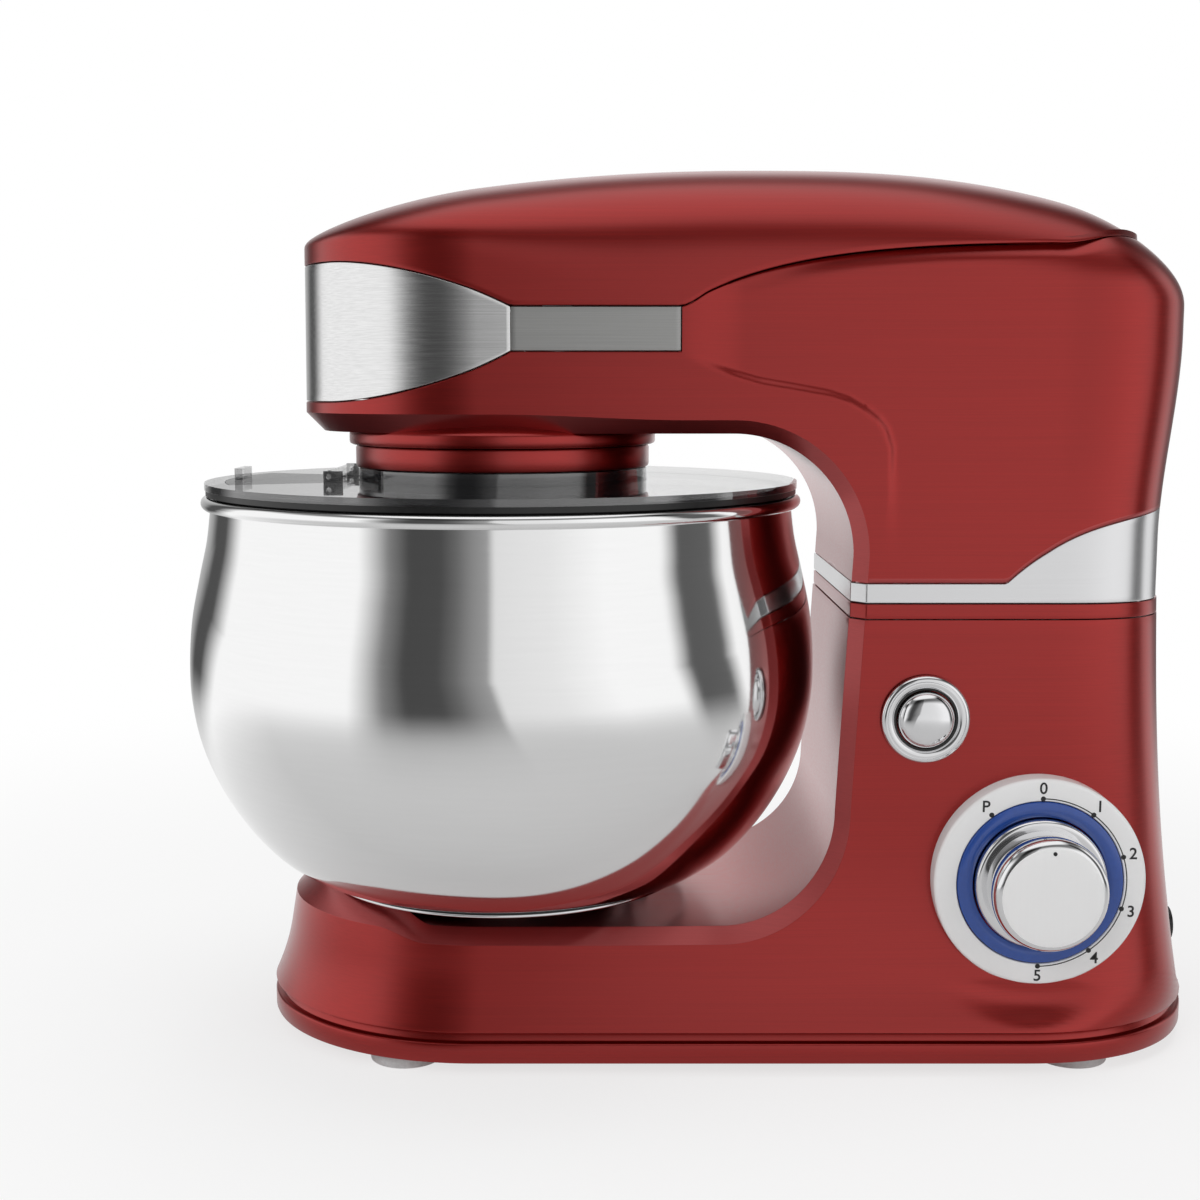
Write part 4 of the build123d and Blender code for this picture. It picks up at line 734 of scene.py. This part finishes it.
def makeTopCover():
    hd = head
    end = hd["start"] + hd["rearLength"]
    tip = hd["nose"] - hd["noseLength"]
    path = steps(tip, hd["nose"], 44) + steps(hd["nose"], hd["start"], 88) + steps(hd["start"], end, 44, True)
    rows = 56

    def place(i, j):
        u = path[i]
        low = seamHeight(u) + seam["gap"]
        if j < len(softEdge):
            up, inset = softEdge[j]
            return headPoint(u, low + up) + inward(u, low + up, inset)
        share = (j - 2) / (rows - 3)
        return headPoint(u, mix(low + softEdge[-1][0], wallTop(u) + hd["domeHeight"] + 12, share))
    return bothSides(gridOf(len(path), rows, place), columnX, headZ + 40)


def makeFrontBand():
    tip = head["nose"] - head["noseLength"]
    path = steps(tip, band["end"], 72, True)
    rows = 16

    def place(i, j):
        u = path[i]
        z = mix(bandLow(u) + seam["gap"], bandTop(u) - seam["gap"], j / (rows - 1))
        return headPoint(u, z, 0.9985)
    return bothSides(gridOf(len(path), rows, place), axisX, headZ + 30)


def makeStrip(side):
    path = steps(band["end"] + 0.1, strip["end"] - 0.1, 30, True)
    rows = 8

    def place(i, j):
        z = mix(strip["low"] + seam["gap"], strip["top"] - seam["gap"], j / (rows - 1))
        point = headPoint(path[i], z, 1 - strip["depth"] / head["half"])
        return Vector((point.x, side * -point.y, point.z))
    bm = gridOf(len(path), rows, place)
    flipOutward(bm, Vector((axisX, 0, headZ + 30)))
    return bm


def aroundColumn(length):
    # over the front face, across the chamfer, and on along the side to the rear: (u, v) pairs
    inner = 1 - base["chamferIn"] / base["half"]
    path = [(0.0, v) for v in steps(0, inner, 8)] + [(0.0, inner)]
    path += [(base["chamfer"] * f, mix(inner, 1, f)) for f in (0.33, 0.67)]
    return path + [(u, 1.0) for u in steps(base["chamfer"], length, 110, True)]


def makeNeckBand():
    front, rows = columnFront(splitZ), 16
    path = aroundColumn(head["start"] + head["rearLength"] - front)

    def place(i, j):
        offset, v = path[i]
        u = front + offset
        return headPoint(u, mix(splitZ + 0.1, neckTop(u) - seam["gap"], j / (rows - 1)), v * 0.999)
    return bothSides(gridOf(len(path), rows, place), columnX + 60, splitZ + 20)


def makeColumnRing():
    front, rows = columnFront(splitZ), 4
    path = aroundColumn(base["start"] + base["rearLength"] - front)

    def place(i, j):
        offset, v = path[i]
        return basePoint(front + offset, mix(ringLow, splitZ - 0.3, j / (rows - 1)), v * 0.999)
    return bothSides(gridOf(len(path), rows, place), columnX + 60, splitZ - 3)


# the shell's second finish is the chamfers' painted highlight
shell = [redPaint, chamferHighlightPaint]
# name, shape, body, finishes, replaced node, slot, wall, bevel, sharp angle
for name, shape, body, finishes, node, slot, wall, bevel, sharp in (
        ("head_shell", makeLowerShell(), "head", shell, "head_lower_shell", "red_paint", 2.4, 0.0, 24),
        ("head_cover", makeTopCover(), "head", [redPaint], "head_top_cover", "red_paint", 2.4, 0.0, 50),
        ("nose_band", makeFrontBand(), "head", [brushedSteel], "front_band", "band_steel", 1.1, 0.35, 40),
        ("strip_right", makeStrip(1), "head", [stripSteel], "side_strip_right", "band_steel", 1.0, 0.2, 40),
        ("strip_left", makeStrip(-1), "head", [stripSteel], "side_strip_left", "band_steel", 1.0, 0.2, 40),
        ("neck_trim", makeNeckBand(), "head", [neckSilver], "neck_band", "neck_silver", 1.2, 0.35, 24),
        ("column_rim", makeColumnRing(), "base", [redPaint], "column_ring", "red_paint", 1.2, 0.35, 24)):
    finishPiece(name, shape, body, finishes, [node], slot, wall, bevel, sharp)
print("head made")


# the two collars under the head, (radius, height)
collars = {
    "upper": [(57.2, 229.3), (58.6, 229.3), (59.4, 229.7), (59.7, 230.6), (59.7, 233.4), (59.3, 234.2),
              (58.0, 235.2), (53.4, 237.4)],
    "lower": [(55.4, 220.3), (56.2, 220.3), (57.0, 220.8), (57.3, 221.8), (57.3, 228.0), (56.9, 228.8),
              (56.1, 229.2), (55.0, 229.2)],
    "bore": 52.4,
}
for name in ("upper", "lower"):
    outer = collars[name]
    profile = outer + [(collars["bore"], outer[-1][1]), (collars["bore"], outer[0][1])]
    finishPiece("collar_" + name, spun(profile, 160, onAxis), "head", [redPaint], ["hub_collar_" + name],
                "red_paint")


# the bowl: its outside up from the foot, the rolled rim, then down the inside to the floor
bowl = {
    "outer": [(74.6, 63.0), (79.2, 63.9), (84.5, 66.5), (93.8, 73.7), (103.8, 85.5), (112.4, 99.8),
              (118.6, 115.4), (121.7, 131), (122.25, 146), (120.9, 163), (117.6, 179.5), (114.6, 193),
              (113.1, 204.6)],
    "rim": (114.0, 207.5), "bead": 2.5, "roll": (-112, 200), "wall": 0.9, "floor": 64.2, "floorWall": 1.1,
}
# the foot's "gap" profile is a black ring that stands in for the shadow under the bowl's foot: a painted
# shadow
foot = {
    "gap": [(72.0, 60.7), (72.6, 61.0), (73.2, 61.7), (73.4, 63.2), (71.6, 63.2), (71.6, 60.7)],
    "bead": (72.6, 60.5), "beadSize": (0.65, 0.62),
}


def curveThrough(points, between):
    # a smooth line through the points
    line = []
    ends = [points[0]] + points + [points[-1]]
    for k in range(len(points) - 1):
        a, b, c, d = (Vector(p) for p in ends[k:k + 4])
        for t in steps(0, 1, between):
            line.append(tuple(0.5 * (2 * b + (c - a) * t + (2 * a - 5 * b + 4 * c - d) * t * t
                                     + (3 * b - 3 * c + d - a) * t ** 3)))
    return line + [tuple(points[-1])]


def makeBowl():
    (r, z), bead, wall, floor = bowl["rim"], bowl["bead"], bowl["wall"], bowl["floor"]
    outer = curveThrough(bowl["outer"], 6)
    start, end = bowl["roll"]
    roll = [(r + bead * cos(a), z + bead * sin(a)) for a in steps(radians(start), radians(end), 18, True)]
    inner = [(radius - wall, height + 0.35) for radius, height in reversed(outer)]
    under = floor - bowl["floorWall"]
    bottom = [(70.5, floor - 0.2), (66.0, floor), (30.0, floor), (0.0, floor + 0.6), (0.0, floor - 0.6),
              (30.0, under), (66.0, under), (71.0, 62.2)]
    return spun(outer + roll + inner + bottom, 200, onAxis)


finishPiece("mixing_bowl", makeBowl(), "bowl", [bowlSteel], ["bowl"], "bowl_steel", sharp=50)
# a black ring under the bowl's foot: a painted shadow in the gap there
finishPiece("foot_shadow_ring", spun(foot["gap"], 160, onAxis), "bowl", [blackRubber], [], "black_rubber")
footBead = [(foot["bead"][0] + foot["beadSize"][0] * cos(a), foot["bead"][1] + foot["beadSize"][1] * sin(a))
            for a in steps(0, 2 * pi, 12)]
finishPiece("foot_bead", spun(footBead, 200, onAxis), "bowl", [chrome], [], "bowl_steel")
seat = {"top": span("bowl_seat")[2][1], "low": base["deck"] - 1, "bore": 30.0, "radius": 46.0}
seatRows = [(seat["bore"], seat["low"]), (seat["radius"], seat["low"]), (seat["radius"], seat["top"] - 2.6),
            (45.4, seat["top"] - 1.4), (44.2, seat["top"] - 0.6), (42.4, seat["top"] - 0.4),
            (seat["bore"], seat["top"] - 0.4)]
finishPiece("seat_ring", spun(seatRows, 160, onAxis), "base", [blackPlastic], ["bowl_seat"], "base_plastic")
print("bowl made")


# the dial: profiles are (radius, height out from the plate's face)
dial = {
    "x": dialWall["x"], "z": dialWall["z"], "face": span("dial_bezel")[1][0], "out": 18.5,
    "plate": [(30.7, -2.2), (30.7, -0.3), (30.95, -0.02), (31.2, 0.0), (37.3, 0.0), (38.2, -0.25),
              (38.75, -0.8), (38.9, -1.6), (38.9, -10.5), (30.7, -10.5)],
    "ring": [(24.7, -2.2), (24.7, -0.2), (25.1, 0.3), (26.4, 0.72), (27.6, 0.85), (28.9, 0.72), (30.1, 0.3),
             (30.4, -0.2), (30.4, -2.2)],
    "collar": [(20.4, -2.8), (24.2, -2.8), (24.2, 1.6), (24.0, 2.4), (23.4, 3.0), (22.6, 3.15), (21.6, 3.1),
               (20.4, 3.1)],
    "knob": [(3.4, 1.0), (20.0, 1.0), (20.3, 2.2), (20.6, 4.0), (20.95, 12.6), (20.9, 14.2), (20.5, 15.8),
             (19.6, 17.1), (18.2, 17.9), (16.2, 18.3), (12.0, 18.42), (0.0, 18.5), (0.0, 6.0), (3.4, 6.0)],
}


def dialShape(profile):
    return spun(dial[profile], 160, facing(dial["x"], dial["face"], dial["z"]))


def makeKnob():
    # bright sides round a pale face
    bm = dialShape("knob")
    bmesh.ops.recalc_face_normals(bm, faces=bm.faces)
    for face in bm.faces:
        face.material_index = 0 if face.normal.y < -0.93 else 1
    return bm


finishPiece("dial_plate", dialShape("plate"), "base", [dialWhite], ["dial_bezel"], "dial_white")
finishPiece("lit_ring", dialShape("ring"), "base", [blueRing], ["light_ring"], "blue_light")
finishPiece("dial_collar", dialShape("collar"), "knob", [chrome], ["knob_collar"], "chrome_trim")
finishPiece("dial_knob", makeKnob(), "knob", [knobFace, chrome], ["control_knob"], "dial_white", sharp=50)


def onDial(angle, radius, out):
    a = radians(angle)
    return Vector((dial["x"] + radius * sin(a), dial["face"] - out, dial["z"] + radius * cos(a)))


def makeDot(angle, radius, size, out, height=0.12):
    bm = bmesh.new()
    bmesh.ops.create_cone(bm, cap_ends=True, segments=28, radius1=size, radius2=size * 0.94, depth=height)
    bmesh.ops.transform(bm, matrix=facing(*onDial(angle, radius, out)), verts=bm.verts)
    return bm


def joined(parts):
    whole = bmesh.new()
    for bm in parts:
        mesh = bpy.data.meshes.new("part")
        bm.to_mesh(mesh)
        bm.free()
        whole.from_mesh(mesh)
        bpy.data.meshes.remove(mesh)
    return whole


# the printed marks, by angle from the top
marks = {"letters": {"P": -36, "0": 0, "1": 36, "2": 72, "3": 108, "4": 144, "5": 180}, "letterRadius": 35.3,
         "letterSize": 6.0, "weight": 0.07, "thick": 0.06, "dots": 31.6, "dotSize": 0.95,
         "knobDot": (16.2, 0.75), "arcHalf": 0.2, "arcThick": 0.08}
dots = [makeDot(angle, marks["dots"], marks["dotSize"], 0.02) for angle in marks["letters"].values()]
finishPiece("dial_dots", joined(dots), "base", [printBlack], [], "dial_white")


def makeArc():
    # a thin printed line from the first speed's dot to the last one's
    bm = bmesh.new()
    r, half, thick = marks["dots"], marks["arcHalf"], marks["arcThick"]
    corners = ((r - half, 0), (r + half, 0), (r + half, thick), (r - half, thick))
    face = bm.faces.new([bm.verts.new((radius, 0, height)) for radius, height in corners])
    bmesh.ops.spin(bm, geom=[face], cent=(0, 0, 0), axis=(0, 0, 1), angle=radians(180), steps=90,
                   use_merge=False)
    turn = Matrix.Rotation(radians(-90), 4, "Z")
    place = facing(dial["x"], dial["face"] + 0.02, dial["z"])
    bmesh.ops.transform(bm, matrix=place @ turn, verts=bm.verts)
    return bm


finishPiece("dial_arc", makeArc(), "base", [printBlack], [], "dial_white")


def makeLetter(letter, angle):
    curve = bpy.data.curves.new("letter", "FONT")
    curve.body = letter
    curve.size = marks["letterSize"]
    curve.align_x, curve.align_y = "CENTER", "CENTER"
    curve.extrude = marks["thick"]
    curve.offset = marks["weight"]
    curve.resolution_u = 6
    shape = bpy.data.objects.new("letter", curve)
    bpy.context.scene.collection.objects.link(shape)
    bpy.context.view_layer.update()
    mesh = bpy.data.meshes.new_from_object(shape)
    bm = bmesh.new()
    bm.from_mesh(mesh)
    bmesh.ops.transform(bm, matrix=facing(*onDial(angle, marks["letterRadius"], 0.04)), verts=bm.verts)
    bpy.data.objects.remove(shape)
    bpy.data.curves.remove(curve)
    bpy.data.meshes.remove(mesh)
    return bm


letters = [makeLetter(letter, angle) for letter, angle in marks["letters"].items()]
finishPiece("dial_letters", joined(letters), "base", [printBlack], [], "dial_white", merge=0.001)
finishPiece("knob_mark", makeDot(0, *marks["knobDot"], dial["out"] - 0.2, 0.2), "knob", [printBlack], [],
            "dial_white")


# the tilt button, with its ring and seal; the cap's profile hangs from its top
button = {
    "x": middle("tilt_button", 0), "z": middle("tilt_button", 2), "face": span("button_bezel")[1][0],
    "ring": [(11.75, -2.2), (11.75, -0.9), (12.3, -0.35), (13.1, -0.05), (13.9, -0.1), (14.1, -1.0),
             (14.6, -1.0), (14.75, -0.1), (15.4, -0.3), (16.05, -0.9), (16.3, -1.7), (16.3, -2.3)],
    "seal": [(10.75, -3.0), (10.75, -1.4), (10.95, -1.15), (11.8, -1.1), (11.8, -3.0)],
    "cap": [(0, 0), (3.5, -0.12), (6.2, -0.5), (8.2, -1.3), (9.5, -2.4), (10.2, -3.5), (10.45, -4.6)],
    "capInside": [(9.0, -5.2), (0, -3.4)], "capFoot": [(10.5, -9.0), (9.0, -9.0)],
}


def buttonShape(profile):
    return spun(profile, 128, facing(button["x"], button["face"], button["z"]))


out = button["face"] - span("tilt_button")[1][0]
capTop, capInside = ([(r, out + h) for r, h in button[part]] for part in ("cap", "capInside"))
capProfile = capTop + button["capFoot"] + capInside
finishPiece("button_ring", buttonShape(button["ring"]), "base", [chrome], ["button_bezel"], "chrome_trim")
finishPiece("button_seal", buttonShape(button["seal"]), "base", [blackRubber], [], "black_rubber")
finishPiece("button_cap", buttonShape(capProfile), "button", [chrome], ["tilt_button"], "chrome_trim")
print("controls made")


# what shiny surfaces see round the object: degrees from the front toward the left, and how light it is there
surround = [(-180, 1.0), (-158, 0.9), (-146, 0.2), (-126, 0.15), (-112, 0.9), (-94, 1.0), (-87, 0.12),
            (-72, 0.10), (-64, 1.0), (-40, 1.0), (-20, 0.84), (0, 0.78), (1, 0.76), (2, 0.34), (8, 0.26),
            (14, 0.14), (20, 0.07), (32, 0.065), (40, 0.22), (52, 1.0), (114, 1.0), (122, 0.40), (128, 0.08),
            (138, 0.08), (146, 0.35), (162, 0.6), (180, 1.0)]
# the same from straight down to straight up; the dip is the dark band along the head's shoulder
upward = [(-90, 1.0), (30, 1.0), (43, 0.22), (56, 0.18), (70, 0.9), (90, 1.0)]


def makeRamp(tree, source, stops, limit):
    # a grey ramp over the degrees from -limit to limit
    ramp = tree.nodes.new("ShaderNodeValToRGB")
    ramp.color_ramp.interpolation = "LINEAR"
    points = ramp.color_ramp.elements
    while len(points) < len(stops):
        points.new(0.5)
    for point, (where, shade) in zip(points, stops):
        point.position = (where + limit) / (2 * limit)
        point.color = (shade, shade, shade, 1)
    tree.links.new(source, ramp.inputs["Fac"])
    return ramp.outputs["Color"]


def bearingShade(tree, place):
    # the surround's tone in the direction of a place, and that place's split coordinates
    split = tree.nodes.new("ShaderNodeSeparateXYZ")
    tree.links.new(place, split.inputs[0])
    left, front = (mathNode(tree, "MULTIPLY", split.outputs[k], -1.0) for k in ("X", "Y"))
    angle = mathNode(tree, "ARCTAN2", left, front)
    return makeRamp(tree, mathNode(tree, "MULTIPLY_ADD", angle, 1 / (2 * pi), 0.5), surround, 180), split


def backgroundRays(tree):
    # 1 for the rays that see the plain white background
    paths = tree.nodes.new("ShaderNodeLightPath")
    either = mathNode(tree, "MAXIMUM", paths.outputs["Is Camera Ray"], paths.outputs["Is Glossy Ray"])
    return mathNode(tree, "MAXIMUM", either, paths.outputs["Is Transmission Ray"])


floor = {"color": 0.92, "edge": (0.18, 0.75), "edgeShare": 0.72, "tones": (0.22, 1.1), "front": (-0.1, 0.25),
         "frontShade": 0.52, "size": 8}
sky = {"ambient": 0.35, "open": (0.80, 0.92)}
lamps = {
    "key": {"place": (-1.2, -1.5, 1.5), "aim": (0.0, 0.0, 0.17), "size": 1.0, "power": 12},
    "fill": {"place": (1.6, -1.3, 0.9), "aim": (0.0, 0.0, 0.15), "size": 1.0, "power": 5},
    "top": {"place": (0.1, 0.2, 1.9), "aim": (0.0, 0.0, 0.0), "size": 1.3, "power": 14},
}
view = {"lens": 50, "sensor": 36, "place": (-0.0359, -0.658, 0.254), "down": 7.54}
plainWhite = (1, 1, 1, 1)


def makeFloor():
    material = bpy.data.materials.new("studio_floor")
    material.use_nodes = True
    tree = material.node_tree
    shader = tree.nodes["Principled BSDF"]
    shader.inputs["Base Color"].default_value = (floor["color"], floor["color"], floor["color"], 1)
    shader.inputs["Roughness"].default_value = 0.7
    shader.inputs["Specular IOR Level"].default_value = 0.1
    place = tree.nodes.new("ShaderNodeTexCoord")
    length = tree.nodes.new("ShaderNodeVectorMath")
    length.operation = "LENGTH"
    link(tree, place, "Object", length, 0)
    away = length.outputs["Value"]
    # near the object the floor is lit and takes its shadow, further off it is plain white
    far = mapRange(tree, away, *floor["edge"], floor["edgeShare"])
    glow = tree.nodes.new("ShaderNodeEmission")
    which = tree.nodes.new("ShaderNodeMixShader")
    tree.links.new(mathNode(tree, "MULTIPLY", far, backgroundRays(tree)), which.inputs[0])
    tree.links.new(shader.outputs[0], which.inputs[1])
    tree.links.new(glow.outputs[0], which.inputs[2])
    tree.links.new(which.outputs[0], tree.nodes["Material Output"].inputs["Surface"])
    # reflections carry the surround's tones some way in over the floor, which is dimmer in front
    tones, split = bearingShade(tree, place.outputs["Object"])
    paths = tree.nodes.new("ShaderNodeLightPath")
    amount = mathNode(tree, "MULTIPLY", mapRange(tree, away, *floor["tones"]), paths.outputs["Is Glossy Ray"])
    behind = mapRange(tree, split.outputs["Y"], *floor["front"], floor["frontShade"], smooth=False)
    tone = mixColor(tree, amount, behind, tones)
    tree.links.new(mixColor(tree, paths.outputs["Is Glossy Ray"], plainWhite, tone), glow.inputs["Color"])
    bm = bmesh.new()
    bmesh.ops.create_grid(bm, x_segments=1, y_segments=1, size=floor["size"])
    mesh = bpy.data.meshes.new("studio_floor")
    bm.to_mesh(mesh)
    bm.free()
    mesh.materials.append(material)
    piece = bpy.data.objects.new("studio_floor", mesh)
    bpy.context.scene.collection.objects.link(piece)


def makeSky():
    world = bpy.data.worlds.new("studio_world")
    bpy.context.scene.world = world
    world.use_nodes = True
    tree = world.node_tree
    back = tree.nodes["Background"]
    back.inputs["Color"].default_value = plainWhite
    back.inputs["Strength"].default_value = sky["ambient"]
    seen = tree.nodes.new("ShaderNodeBackground")
    which = tree.nodes.new("ShaderNodeMixShader")
    tree.links.new(backgroundRays(tree), which.inputs[0])
    tree.links.new(back.outputs[0], which.inputs[1])
    tree.links.new(seen.outputs[0], which.inputs[2])
    tree.links.new(which.outputs[0], tree.nodes["World Output"].inputs["Surface"])
    place = tree.nodes.new("ShaderNodeTexCoord")
    tones, split = bearingShade(tree, place.outputs["Generated"])
    height = mathNode(tree, "ARCSINE", split.outputs["Z"])
    layers = makeRamp(tree, mathNode(tree, "MULTIPLY_ADD", height, 1 / pi, 0.5), upward, 90)
    both = mixColor(tree, 1.0, tones, layers, "MULTIPLY")
    # high up the surround opens to plain white
    over = mapRange(tree, split.outputs["Z"], *sky["open"])
    paths = tree.nodes.new("ShaderNodeLightPath")
    reflected = mixColor(tree, over, both, plainWhite)
    shown = mixColor(tree, paths.outputs["Is Glossy Ray"], plainWhite, reflected)
    tree.links.new(shown, seen.inputs["Color"])


def makeLamps():
    for name, look in lamps.items():
        light = bpy.data.lights.new(name, "AREA")
        light.energy, light.size = look["power"], look["size"]
        lamp = bpy.data.objects.new(name, light)
        bpy.context.scene.collection.objects.link(lamp)
        lamp.location = look["place"]
        lamp.visible_glossy = False
        toward = Vector(look["aim"]) - Vector(look["place"])
        lamp.rotation_euler = toward.to_track_quat("-Z", "Y").to_euler()


def makeCamera():
    lens = bpy.data.cameras.new("camera")
    lens.lens, lens.sensor_width = view["lens"], view["sensor"]
    camera = bpy.data.objects.new("camera", lens)
    bpy.context.scene.collection.objects.link(camera)
    camera.location = view["place"]
    camera.rotation_euler = (radians(90 - view["down"]), 0, 0)
    bpy.context.scene.camera = camera


makeFloor()
makeSky()
makeLamps()
makeCamera()
bpy.context.scene.view_settings.view_transform = "Standard"
print("studio made")
